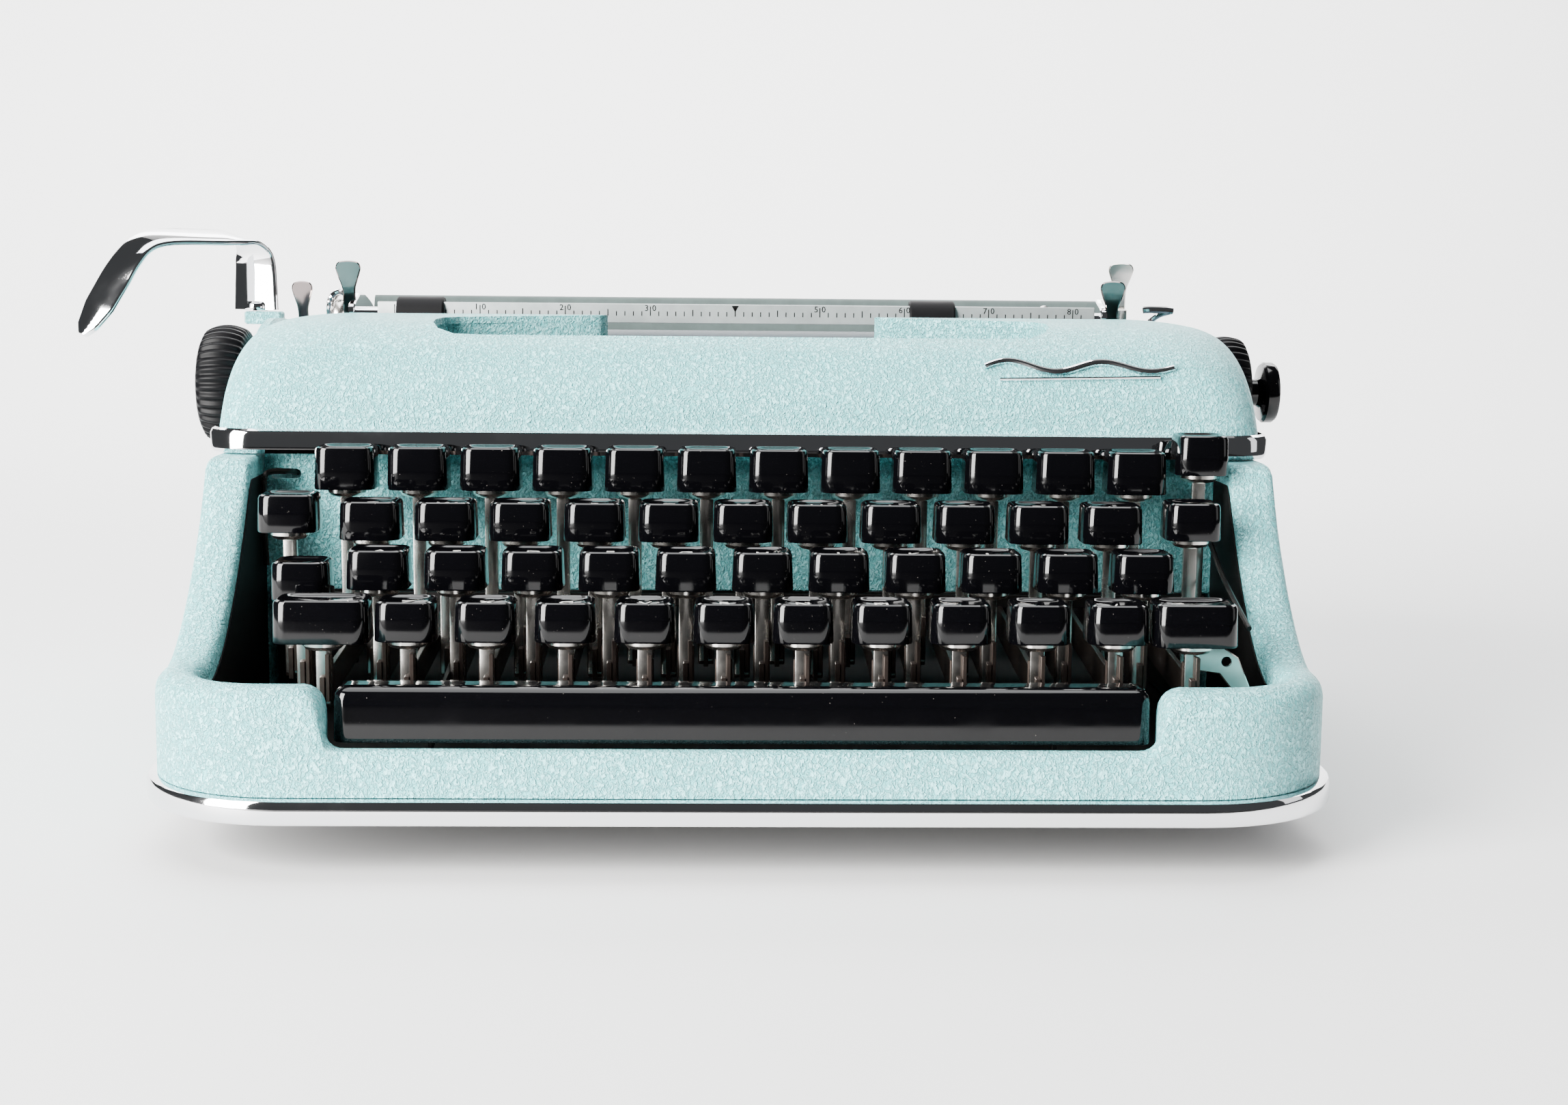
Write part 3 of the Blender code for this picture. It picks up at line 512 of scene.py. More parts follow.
piece("base_trim", [baseTrim()], chrome, "frame", ["chassis"], 30)
middleY = (case["front"] + case["rear"]) / 2
panOutline = roundRect(case["half"] - 1.5, middleY - case["front"] - 1.5, case["corner"] - 1.5, 10)
panOutline += (0, middleY)
piece("base_pan", [plate(panOutline, 13.0, 14.6)], darkSteel, "frame")
footShape = [(0.5, 0.6), (3.0, 0.6), (3.6, 0.0), (9.2, 0.0), (10.0, 0.5), (10.9, 9.0)]
footShape += [(11.0, 12.6), (9.0, 13.1), (0.5, 13.1)]
feet = [lathe(footShape, 32, "z", (x, y, 0)) for x in (-81.2, 81.2) for y in (62, 239.4)]
piece("rubber_feet", feet, blackRubber, "frame")
print("casing made")


# Ribbon cover

cover = {"half": 143.2, "front": 101.0, "rear": 168.0, "corner": 11.0, "low": 89.0, "bandTop": 95.5,
         "top": 125.2, "thick": 1.9, "proud": 2.0, "fanFront": 118.5, "fanHalf": 84.0, "fanRear": 40.0}
endProfile = [(0.0, 95.5), (0.2, 100), (0.5, 104.5), (1.4, 111.0), (2.9, 116.1), (4.9, 119.7), (7.4, 121.9),
              (10.8, 123.4), (16.0, 124.4), (23.0, 125.0), (28.0, 125.2)]
frontProfile = [(0.0, 95.5), (0.7, 100), (2.6, 106), (6.2, 112), (11.0, 116.8), (16.6, 120.3), (22.0, 122.5),
                (28.0, 123.8), (38.0, 124.6), (67.0, 125.2)]


def insetAt(profile, z):
    # How far in the profile stands at a height, straight between its points.
    return np.interp(z, profile[:, 1], profile[:, 0])


def coverSheet(inset, rowsUp=34):
    # Each level is a three-sided line round the plan, drawn in by the end and front profiles at that height.
    end, frontIn = curve(endProfile, 200), curve(frontProfile, 200)
    t = np.linspace(0, 1, rowsUp)
    heights = cover["bandTop"] + (cover["top"] - cover["bandTop"]) * np.sin(t * np.pi / 2)
    levels = [(cover["low"], 0.0, 0.0)]
    levels += [(z, insetAt(end, z), insetAt(frontIn, z)) for z in heights]
    rings = []
    for z, ends, fronts in levels:
        half = cover["half"] - ends - inset
        front = min(cover["front"] + fronts + inset, cover["rear"] - 0.06)
        r = min(cover["corner"] + 16 * (z - 90) / 35, cover["rear"] - front - 0.02)
        sideY = np.linspace(cover["rear"], front + r, 9)[:-1]
        left = np.stack([np.full(8, -half), sideY], -1)
        frontX = np.linspace(-half + r, half - r, 80)[1:-1]
        straight = np.stack([frontX, np.full(78, front)], -1)
        leftArc = arc((-half + r, front + r), r, 180, 270, 12)
        rightArc = arc((half - r, front + r), r, 270, 360, 12)
        line = np.concatenate([left, leftArc, straight, rightArc, left[::-1] * (-1, 1)])
        level = z - inset if z > cover["low"] else z
        rings.append(np.insert(line, 2, level, axis=1))
    return np.array(rings)


def coverShape():
    # An outer sheet and one drawn in by the wall, joined round their edges.
    outer, inner = coverSheet(0.0), coverSheet(cover["thick"])
    rings = np.concatenate([outer, inner[::-1]])
    rowCount, colCount = rings.shape[:2]
    faces = gridFaces(rowCount, colCount, True, False)
    for col in (0, colCount - 1):
        for i in range(len(outer) - 1):
            outside, inside = i * colCount + col, (rowCount - 1 - i) * colCount + col
            faces.append([outside, outside + colCount, inside - colCount, inside])
    return rings.reshape(-1, 3), faces


def fanOutline():
    # The opening's plan: narrow at the rear, slanted sides, and a finger recess at each outer end.
    f, h, r = cover["fanFront"], cover["fanHalf"], cover["fanRear"]
    recess = [(h - 3, f + 29.5), (h + 1.2, f + 25), (h + 2.8, f + 18), (h + 2.6, f + 10)]
    recess += [(h + 0.6, f + 4), (h - 4, f + 0.6)]
    slant = [(r, 176.0), (r, 169.0), (r + 1.2, 165.8), (r + 5, 163.4), (r + 22, 156.8)]
    right = slant + recess + [(h - 12, f)]
    return np.array(right + [(-x, y) for x, y in reversed(right)])


coverPiece = pushMesh("ribbon_cover_shell", coverShape())
cutAway(coverPiece, pushMesh("fan", plate(fanOutline(), 100, 160, "z")))
finishPiece(coverPiece, paint, "ribbon_cover", ["ribbon_cover"], 40)


def skirt(side):
    # A wall under the opening's slanted edge, following the cover's height there.
    path = curve(fanOutline()[1:11][::-1], 60)
    path[:, 0] *= side
    frontIn = curve(frontProfile, 200)
    top = np.interp(path[:, 1] - cover["front"], frontIn[:, 0], frontIn[:, 1]) - 0.15
    ahead = np.gradient(path, axis=0)
    ahead /= np.linalg.norm(ahead, axis=1, keepdims=True)
    out = np.stack([ahead[:, 1], -ahead[:, 0]], -1) * side
    section = [(-0.1, 0.0, 0), (0.0, -0.7, 0), (0.0, -1, 1), (1.4, -1, 1), (1.4, -0.4, 0)]
    drop = 9.0
    rings = []
    for at, normal, z in zip(path, out, top):
        rings.append([(*(at + normal * o), z - drop if deep else z + dz) for o, dz, deep in section])
    return loft(rings)


piece("cover_skirts", [skirt(1), skirt(-1)], paint, "ribbon_cover")
# The cover's bright edge: a closed band with rounded outer edges.
proud, low, high = cover["proud"], cover["low"], cover["bandTop"]
coverBand = [(-1.6, low + 0.1), (proud - 0.8, low + 0.1), (proud - 0.05, low + 1.2), (proud, high - 1.3)]
coverBand += [(proud - 0.5, high - 0.3), (0.6, high + 0.2), (-1.6, high + 0.2)]
coverBand = bandRings(coverBand, cover["half"], cover["front"], cover["rear"], cover["corner"])
piece("cover_band", [loft(coverBand)], chrome, "ribbon_cover", (), 28)


def coverPoint(x, z, lift=0.0):
    # A point on the cover's front, moved out along the profile's normal by lift.
    frontIn = curve(frontProfile, 200)
    inset = insetAt(frontIn, z)
    ahead = insetAt(frontIn, z + 0.5) - inset
    length = math.hypot(ahead, 0.5)
    return (x, cover["front"] + inset - lift * 0.5 / length, z + lift * ahead / length)


def ornament():
    # A plain flowing line: a long bar with two waves, not a word.
    line = []
    for t in np.linspace(0, 1, 70):
        x = 66 + 52 * t
        z = 113.1 + 1.5 * math.sin(t * 4 * math.pi) * (1 - 0.35 * t)
        line.append(coverPoint(x, z, 0.9))
    radius = 0.75 + 0.25 * np.sin(np.linspace(0, math.pi, 70))
    under = [coverPoint(70 + 44 * t, 109.9 + 0.8 * t, 0.7) for t in np.linspace(0, 1, 20)]
    return [tube(line, radius, 10), tube(under, 0.5, 8)]


piece("ornament", ornament(), chrome, "ribbon_cover")
print("cover made")


# Keyboard

keys = {"pitch": 19.0, "depth": 14.5, "corner": 3.5, "taper": 0.3, "dish": 1.0, "stem": 3.6,
        "shoe": 4.2, "leverFront": 38.0}
# For each row: first key's x, front, top, width and height of the caps, and the legends.
rows = {"number_key": (-104.5, 82.0, 92.4, 15.8, 11.2, "1234567890-="),
        "upper_key": (-95.0, 63.0, 80.2, 15.5, 9.8, "QWERTYUIOP+"),
        "home_key": (-90.25, 44.0, 70.3, 15.2, 9.7, "ASDFGHJKL;'"),
        "lower_key": (-80.75, 25.0, 60.6, 14.7, 9.6, "ZXCVBNM,./")}
# For each of these keys: x, front, top, width and height of the cap.
sideKeys = {"margin_release_key": (-115.9, 63.0, 81.8, 15.0, 9.6),
            "shift_lock_key": (-109.25, 44.0, 67.3, 14.3, 9.6),
            "tabulator_key": (115.9, 63.0, 81.0, 14.2, 9.6),
            "backspace_key": (121.6, 81.0, 97.0, 14.0, 10.5)}
shifts = {"left_shift": (-100.7, 24.0, 61.0, 22.8, 10.4), "right_shift": (108.7, 24.0, 61.0, 20.4, 10.4)}
space = {"half": 95.0, "front": 8.0, "rear": 21.0, "low": 30.5, "top": 43.5, "armX": 73.625, "armZ": 30.5}
pivot = {"y": 200.0, "z": 55.0, "rod": 2.0}


def capShape(x, front, top, width, height):
    # Rounded squares from the foot up, a rounded rim, then a shallow dish to the middle.
    low = top - height
    middle = (x, front + keys["depth"] / 2)
    halfX, halfY, taper = width / 2, keys["depth"] / 2, keys["taper"]
    levels = [(0.5, low + 0.05), (0.12, low + 0.02), (0.0, low + 0.35), (taper * 0.5, low + 5)]
    levels += [(taper, top - 0.9), (taper + 0.25, top - 0.3), (taper + 0.75, top)]
    levels += [(taper + 1.15, top - 0.06), (taper + 1.6, top - 0.42)]
    rings = []
    for inset, z in levels:
        corner = max(keys["corner"] - inset * 0.4, 0.5)
        rings.append(np.insert(roundRect(halfX - inset, halfY - inset, corner, 6) + middle, 2, z, axis=1))
    last = rings[-1]
    for share, drop in ((0.75, 0.62), (0.45, 0.9), (0.15, 1.0)):
        ring = (last - (*middle, 0)) * (share, share, 1) + (*middle, 0)
        ring[:, 2] = top - 0.42 - (keys["dish"] - 0.42) * drop
        rings.append(ring)
    return loft(rings)


def leverOutline(stemY, frontZ):
    # A blade from under the stem back to an open hook round the rod.
    y, z, half, hook = pivot["y"], pivot["z"], 4.0, 2.35
    end = y + 2
    outline = [(end, z + half), (end, z + hook)]
    outline += [(y + hook * math.cos(a), z + hook * math.sin(a)) for a in np.radians(np.arange(90, 271, 30))]
    outline += [(end, z - hook), (end, z - half), (y - 6, z - half), (y - 40, z - 6 - half)]
    outline += [(112, 44.5 - half), (stemY - 3, frontZ - half), (stemY - 3, frontZ + half)]
    outline += [(112, 44.5 + half), (y - 40, z - 6 + half), (y - 6, z + half)]
    return outline


def metalShapes(x, front, top, height):
    # Under the cap: a shallow dished cup and a flat stem that stands on the lever.
    y, low, half = front + keys["depth"] / 2, top - height, keys["stem"] / 2
    cup = [(0.5, low - 2.5), (2.6, low - 2.4), (4.3, low - 1.9), (5.0, low - 1.1)]
    cup += [(5.1, low + 0.06), (0.5, low + 0.06)]
    stem = brick((x - half, y - 0.9, keys["leverFront"] - 3), (x + half, y + 0.5, low - 2.3), 0.35, 0.2)
    return [lathe(cup, 24, "z", (x, y, 0)), stem]


def leverShapes(x, front):
    # The blade, an ear beside its end, and the wide shoe that holds the stem.
    y, z, half = front + keys["depth"] / 2, keys["leverFront"], keys["shoe"] / 2
    blade = plate(leverOutline(y, z), x - 0.6, x + 0.6, "x", 0.12)
    ear = [(y - 2.6, z - 2), (y + 3.4, z - 2), (y + 3.4, z + 7), (y + 1.5, z + 9.5), (y - 2.6, z + 9.5)]
    shoe = brick((x - half, y + 0.6, z - 4), (x + half, y + 1.5, z + 8), 0.3, 0.2)
    return [blade, plate(ear, x + 0.7, x + 1.7, "x", 0.12), shoe]


def glyph(text, x, y, z, size):
    data = bpy.data.curves.new("glyph", "FONT")
    data.body = text
    data.size = size * 0.001
    data.align_x = "CENTER"
    data.align_y = "CENTER"
    data.resolution_u = 2
    data.extrude = 0.00004
    holder = bpy.data.objects.new("glyph", data)
    bpy.context.scene.collection.objects.link(holder)
    bpy.context.view_layer.update()
    mesh = bpy.data.meshes.new_from_object(holder.evaluated_get(bpy.context.evaluated_depsgraph_get()))
    verts = np.array([v.co for v in mesh.vertices]) * 1000 + (x, y, z)
    faces = [list(p.vertices) for p in mesh.polygons]
    bpy.data.objects.remove(holder)
    bpy.data.curves.remove(data)
    bpy.data.meshes.remove(mesh)
    return verts, faces


def addKey(name, x, front, top, width, height, body, text=""):
    cap = capShape(x, front, top, width, height)
    piece(f"{name}_cap", [cap], blackPlastic, body, [body], 30)
    piece(f"{name}_metal", metalShapes(x, front, top, height), nickel, body)
    piece(f"{name}_lever", leverShapes(x, front), leverSteel, body)
    if text:
        letters = [glyph(text, x, front + 7.4, top - keys["dish"] + 0.12, 5.2)]
        piece(f"{name}_legend", letters, legendWhite, body)


for row, (firstX, *shape, legends) in rows.items():
    for i, text in enumerate(legends):
        name = f"{row}_{i + 1}"
        addKey(name, firstX + keys["pitch"] * i, *shape, name, text)
for name, shape in sideKeys.items():
    addKey(name, *shape, name)
for name, shape in shifts.items():
    addKey(name, *shape, "shift_keys")
barLow, barHigh = shifts["left_shift"][0] - 0.3, shifts["right_shift"][0] + 0.3
shiftBar = brick((barLow, 183, 41.8), (barHigh, 186, 44.4), 0.5, 0.3)
piece("shift_bail", [shiftBar], darkSteel, "shift_keys")


def spaceShape():
    # Long rounded bar: softly domed top, rounded ends.
    y, low, top = (space["front"] + space["rear"]) / 2, space["low"], space["top"]
    halfY = (space["rear"] - space["front"]) / 2
    levels = [(0.7, low + 0.05), (0.1, low + 0.15), (0.0, low + 0.8), (0.15, top - 3.2)]
    levels += [(0.5, top - 1.5), (1.3, top - 0.5), (2.6, top - 0.08), (4.6, top)]
    rings = []
    for inset, z in levels:
        flat = roundRect(space["half"] - inset, halfY - inset, max(3.2 - inset * 0.55, 0.4), 8) + (0, y)
        rings.append(np.insert(flat, 2, z, axis=1))
    return loft(rings)


piece("space_bar_plastic", [spaceShape()], blackPlastic, "space_bar", ["space_bar"], 40)
spaceArms = []
for x in (-space["armX"], space["armX"]):
    spaceArms.append(plate(leverOutline(20.0, space["armZ"]), x - 0.5, x + 0.5, "x", 0.12))
piece("space_bar_arms", spaceArms, darkSteel, "space_bar")
print("keyboard made")


# Inner frame, type basket and ribbon


def innerFrame():
    # Two side plates, the levers' rod and the cross pieces.
    made = []
    for side in (-1, 1):
        near, far = sorted((side * 125.5, side * 128.5))
        outline = [(112, 15), (258, 15), (258, 74), (252, 78), (118, 78), (112, 72)]
        made.append(plate(outline, near, far, "x", 0.4))
    rod = [(0.2, -126), (pivot["rod"], -126), (pivot["rod"], 126), (0.2, 126)]
    made.append(lathe(rod, 12, "x", (0, pivot["y"], pivot["z"])))
    made.append(brick((-126, 150, 62), (126, 156, 69)))
    outer, inner = arc((0, 165), 53, 195, 345, 40), arc((0, 165), 20, 345, 195, 40)
    made.append(plate(np.concatenate([outer, inner]), 63, 70, "z", 0.5))
    made.append(plate(np.array([(-128, 104), (128, 104), (128, 112), (-128, 112)]), 47.5, 51.0, "z"))
    # The low plate across the well is a dark sheet of painted shade, standing where the bottom of the well
    # lies in shadow.
    made.append(brick((-127, 16, 19.6), (127, 108, 20.6)))
    return made


def typebars():
    # Thin bars at rest in a fan, each ending in a block with a raised face.
    made = []
    for a in np.radians(np.linspace(199, 341, 44)):
        direction = np.array([math.cos(a), math.sin(a), 0])
        start = np.array([0, 165, 68.5]) + direction * 24
        turn = np.array([direction, [-direction[1], direction[0], 0], [0, 0, 1]]).T
        bar = brick((0, -0.5, -1.3), (26.5, 0.5, 1.3), 0.2, 0.15)
        tilt = turned("Y", -7.7)
        made.append(moved((bar[0] @ tilt.T, bar[1]), start, turn))
        slug = brick((25.4, -1.1, -2.2), (28.4, 1.1, 5.0), 0.3, 0.3)
        made.append(moved((slug[0] @ tilt.T, slug[1]), start, turn))
    return made


def spools():
    # A cup, a spool with two flanges, its wound ribbon, and the ribbon's run to the guide at the middle.
    cup = [(0.3, 78), (21, 78), (21.6, 78.6), (21.6, 90), (20.9, 90), (20.9, 79.2), (0.3, 79.2)]
    spool = [(0.3, 79.5), (18.5, 79.5), (18.5, 80.1), (4, 80.2), (4, 88.6), (18.2, 88.8), (18.2, 89.4)]
    spool += [(5, 89.6), (2.4, 92), (0.3, 92.4)]
    wound = [(4.2, 80.4), (15, 80.4), (15, 88.4), (4.2, 88.4)]
    run = [(84, 149, 84.4), (60, 159, 84.4), (30, 166.5, 86), (10, 170.5, 88), (0, 171.2, 88)]
    metal, cloth = [], []
    for side in (-1, 1):
        at = (side * 96, 141, 0)
        metal += [lathe(cup, 40, "z", at), lathe(spool, 36, "z", at)]
        path = curve(np.array(run) * (side, 1, 1), 24)
        cloth.append(lathe(wound, 36, "z", at))
        cloth.append(ribbonStrip(path, [8.0] * 24, [(0, 0, 1)] * 24, 0.25, 0.1))
    for low, high in (((-9, 169.4, 80), (-7.6, 170.4, 95)), ((7.6, 169.4, 80), (9, 170.4, 95))):
        metal.append(brick(low, high, 0.3))
    metal += [brick((-9, 169.4, 79), (9, 170.6, 82), 0.3), brick((-4, 168, 70), (4, 170, 80), 0.4)]
    return metal, cloth


piece("inner_frame", innerFrame(), darkSteel, "frame")
piece("typebars", typebars(), nickel, "frame")
spoolMetal, ribbonShapes = spools()
piece("ribbon_spools", spoolMetal, leverSteel, "frame")
piece("ribbon", ribbonShapes, ribbonCloth, "frame")
bracketOutline = [(109, 48.5), (116, 50), (120.5, 47), (123.4, 40)]
bracketOutline += [(123.4, 37.4), (120, 38), (116, 43), (109, 44)]
bracket = pushMesh("shift_bracket", plate(bracketOutline, 32.3, 33.5, "y"))
cutAway(bracket, pushMesh("bracket_hole", lathe([(1.3, 30), (1.3, 36)], 16, "y", (117.6, 0, 46.0))))
finishPiece(bracket, nickel, "shift_keys")
# The dark sheets along the inside of the arms are painted shade: they stand where the arms' inner walls fall
# into shadow.
for side in (-1, 1):
    top = [(y, caseHeight(y) - 5.5) for y in np.linspace(105, 24, 28)]
    shadowSheet = plate(np.array([(24, 16), (105, 16)] + top), *sorted((side * 129.5, side * 129.9)), "x", 0.1)
    piece("arm_shadow_sheet_left" if side < 0 else "arm_shadow_sheet_right", [shadowSheet], shadowSheetBlack, "frame")
armRod = tube([(126.5, 95, 68), (125.5, 70, 60), (126, 45, 52)], 0.7, 8, 16)
piece("arm_rod", [armRod], darkSteel, "frame")
print("inner frame made")


# Carriage

platen = {"y": 195.0, "z": 102.0, "radius": 18.0, "low": -144.5, "high": 138.5}
bail = {"y": 187.5, "z": 124.6, "rod": 2.0, "roller": 5.3, "scaleFront": 184.3, "unit": 2.6,
        "firstTick": -105.8}
returnFoot = (-155.65, 222, 0)


def carriageShapes():
    # A bed, a rear wall and two rounded end plates with a hole for the axle.
    bed = brick((-149, 215.6, 81.2), (143, 251.4, 85), 1.5, 0.6)
    rear = brick((-146, 246, 85), (140, 250, 104), 1.0, 0.8)
    outline = [(252, 81), (252, 100), (249, 108), (240, 116), (230, 121), (206, 122), (192, 118)]
    outline += [(186, 112), (183.5, 102), (186, 92), (194, 85), (215, 81)]
    outline = curve(outline + outline[:1], 60)[:-1]
    ends = []
    for low, high in ((-150, -146), (140, 144)):
        made = pushMesh("end", plate(outline, low, high, "x", 0.9))
        hole = lathe([(3.6, low - 2), (3.6, high + 2)], 24, "x", (0, platen["y"], platen["z"]))
        cutAway(made, pushMesh("hole", hole))
        mesh = made.data
        verts = (np.array([v.co for v in mesh.vertices]) - origin) * 1000
        ends.append((verts, [list(p.vertices) for p in mesh.polygons]))
        bpy.data.objects.remove(made)
    return [bed, rear, brick((-159.5, 218, 120), (-147, 226, 124), 3.0, 0.5)] + ends


piece("carriage_frame", carriageShapes(), paint, "carriage", ["carriage"])
railBar = brick((-124, 226, 70), (124, 248, 80.6), 1.2, 0.8)
piece("lifted_rail", [railBar], darkSteel, "carriage_rail", ["carriage_rail"])


def paperTable():
    # A curved sheet leaning back with a rolled top edge.
    t = np.linspace(0, 1, 26)
    path = np.stack([np.zeros(26), 219 + 13 * t**2, 84.2 + 43.6 * t], -1)
    roll = np.radians(np.linspace(0, 150, 8))[1:]
    back, up = 1.8 * (1 - np.cos(roll)), 1.8 * np.sin(roll) * 0.6
    bend = path[-1] + np.stack([np.zeros(7), back, up], -1)
    line = np.concatenate([path, bend])
    ahead = np.gradient(line, axis=0)
    ahead /= np.linalg.norm(ahead, axis=1, keepdims=True)
    normal = np.cross(ahead, [1, 0, 0])
    section = np.concatenate([line + normal * 0.6, (line - normal * 0.6)[::-1]])
    return loft([section + (x, 0, 0) for x in (-119.4, -119, -60, 0, 60, 119, 119.4)])


piece("paper_table", [paperTable()], tableGreyShade, "carriage")


def carriageFittings():
    # The rod behind the table with its two clips, a wire loop on the left and a paper hook on the right.
    bright = [lathe([(0.2, -145), (2.2, -145), (2.2, 139.8), (0.2, 139.8)], 16, "x", (0, 241, 108))]
    bright += [brick((x - 5, 237.5, 104.5), (x + 5, 244.5, 112), 1.0, 0.6) for x in (-70, 64)]
    loop = [(-131, 214, 121), (-130.6, 213, 128), (-128, 213, 130.6), (-125.4, 213, 129), (-125, 214, 121)]
    bright.append(tube(loop, 0.9, 10, 24))
    hook = [(128.4, 208, 119.5), (129.1, 205, 122.5), (132.5, 203, 125.7), (136.4, 202, 127.1)]
    bright.append(tube(hook + [(131.9, 201, 127.4), (127.4, 201, 127.3)], [0.9] * 24, 10, 24))
    rest = [(127.2, 201, 127.3), (129.4, 201, 127.5), (133.9, 201.5, 127.4), (136.7, 202, 127.2)]
    bright.append(tube(rest, 1.15, 10, 12))
    return bright


piece("carriage_fittings", carriageFittings(), chrome, "carriage")
endCaps = []
for x, y in ((-127.6, 222), (118.0, 222)):
    profile = [(y - 12, 116), (y - 11, 124), (y - 7, 129.4), (y - 1, 130.6), (y + 6, 128), (y + 8, 121)]
    profile = curve(profile + [(y + 7, 114)], 26)
    endCaps.append(plate(profile, x - 3.0, x + 3.0, "x", 1.6))
piece("end_caps", endCaps, nickel, "carriage", (), 60)
screws = []
for x, y, z in ((-100, 231.4, 126.0), (100, 231.4, 126.0)):
    screws.append(lathe([(0.2, 0), (1.9, 0), (1.9, 0.6), (1.2, 1.0), (0.2, 1.05)], 16, "z", (0, 0, 0)))
    screws[-1] = moved(screws[-1], (x, y - 1.5, z), turned("X", 75))
piece("table_screws", screws, nickel, "carriage")


def wheelRing(x, r, turns):
    # A circle of radius r about the platen's axis.
    y, z = platen["y"] + r * np.cos(turns), platen["z"] + r * np.sin(turns)
    return np.stack([np.full(len(turns), x), y, z], -1)


def ribbedKnob(low, high, radius, ribs, bulge):
    # A wheel whose edge is drawn in and out by a cosine of the angle, and domed along its length.
    turns = np.linspace(0, 2 * np.pi, ribs * 6, endpoint=False)
    wave = 0.45 * np.clip(np.cos(turns * ribs) * 1.6, -1, 1)
    rings = []
    for t in np.linspace(0, 1, 15):
        r = radius - bulge * (2 * t - 1) ** 2 - 1.1 * (abs(2 * t - 1) > 0.99)
        groove = wave * smoothstep(min(t, 1 - t) * 9)
        rings.append(wheelRing(low + (high - low) * t, r - 0.45 + groove, turns))
    # The right knob's face is sunk a little inside its rim.
    face = ((high, 0.8), (high - 0.9, 0.76), (high - 0.9, 0.3)) if low > 0 else ()
    rings += [wheelRing(x, radius * share + turns * 0, turns) for x, share in face]
    return loft(rings)


at = (0, platen["y"], platen["z"])
low, high, r = platen["low"], platen["high"], platen["radius"]
roller = [(2, low), (r - 0.8, low), (r, low + 0.8), (r, high - 0.8), (r - 0.8, high), (2, high)]
piece("platen_roller", [lathe(roller, 64, "x", at)], platenRubber, "platen", ["platen"])
axle = lathe([(0.5, -164), (3.0, -164), (3.0, 160), (0.5, 160)], 20, "x", at)
piece("platen_axle", [axle], nickel, "platen")
knobs = [ribbedKnob(-166, -152, 18.5, 40, 2.2), ribbedKnob(146, 158, 17.5, 38, 1.6)]
piece("platen_knobs", knobs, knobBlack, "platen", (), 50)
button = [(0.3, 157), (4.2, 157), (4.2, 162.4), (5.0, 163.4), (8.8, 163.8), (9.5, 164.6)]
button += [(9.5, 167.2), (8.8, 168.2), (7.0, 168.5), (0.3, 168.1)]
piece("spacing_button", [lathe(button, 36, "x", at)], blackPlastic, "platen")

bailAt = (0, bail["y"], bail["z"])
rod = [(0.2, -119), (bail["rod"], -119), (bail["rod"], 112), (0.2, 112)]
bailRod = [lathe(rod, 16, "x", bailAt)]


def tabShape(low, high, top, y, lean=2.0, thick=1.3):
    # A finger tab: narrow neck, widening to a rounded top, leaning a little.
    middle = (low + high) / 2
    half = (high - low) / 2
    side = [(0.55, -16), (0.5, -9), (0.8, -5), (1.0, -2.2), (0.8, -0.5), (0.3, 0)]
    outline = [(-share * half, z) for share, z in side] + [(share * half, z) for share, z in reversed(side)]
    verts, faces = plate(curve(outline, 44), 0, thick, "y", 0.35)
    verts[:, 1] += lean * (verts[:, 2] / 12) ** 2
    return moved((verts, faces), (middle, y, top))


arm = [(219.5, 121), (221, 124), (219, 127), (200, 131), (192, 129.5), (185.5, 127.5), (184.5, 124)]
arm += [(186.5, 121.6), (191, 122.5), (205, 125.5)]
arm = curve(arm + arm[:1], 40)[:-1]
bailArms = [plate(arm, x, x + 2, "x", 0.4) for x in (-120, 111)]
bailTabs = [tabShape(-124.0, -116.3, 140.5, 186), tabShape(111.0, 118.7, 136.4, 186)]
piece("bail_tabs", bailTabs, tabSteel, "paper_bail")
piece("paper_bail_rod", bailRod + bailArms, chrome, "paper_bail", ["paper_bail"])


def bailRoller(low, high):
    r, inner = bail["roller"], bail["roller"] - 0.4
    profile = [(2.0, low), (inner, low), (r, low + 0.5), (r, high - 0.5), (inner, high), (2.0, high)]
    return lathe(profile, 28, "x", bailAt)


bailRollers = [bailRoller(-105.2, -90.8), bailRoller(51.8, 65.8)]
piece("bail_rollers", bailRollers, blackRubber, "paper_bail")


def scaleMarks():
    # A tick for each space, taller at fives and tens, two digits at the tens and a pointer at the middle.
    front, unit, first = bail["scaleFront"], bail["unit"], bail["firstTick"]
    low, middle = 124.6, 40
    marks = []
    for i in range(82):
        x = first + unit * i
        tall = 2.9 if i % 10 == 0 else (2.0 if i % 5 == 0 else 1.4)
        marks.append(brick((x - 0.14, front - 0.06, low), (x + 0.14, front + 0.2, low + tall), 0.01, 0.01))
        for digit, side in zip(str(i) if i % 10 == 0 and i not in (0, middle) else "", (-1, 1)):
            letter = glyph(digit, 0, 0, 0, 2.6)
            marks.append(moved(letter, (x + side * 1.15, front - 0.05, 126.9), turned("X", 90)))
    x = first + unit * middle
    pointer = [(x - 1.1, 127.9), (x + 1.1, 127.9), (x, 125.9)]
    marks.append(plate(pointer, front - 0.06, front + 0.2, "y", 0.02))
    return marks


scalePlate = brick((-111, bail["scaleFront"], 122.4), (109, 185.6, 128.3), 0.4, 0.2)
piece("scale_plate", [scalePlate], scalePaint, "paper_bail")
piece("scale_marks", scaleMarks(), inkBlack, "paper_bail")


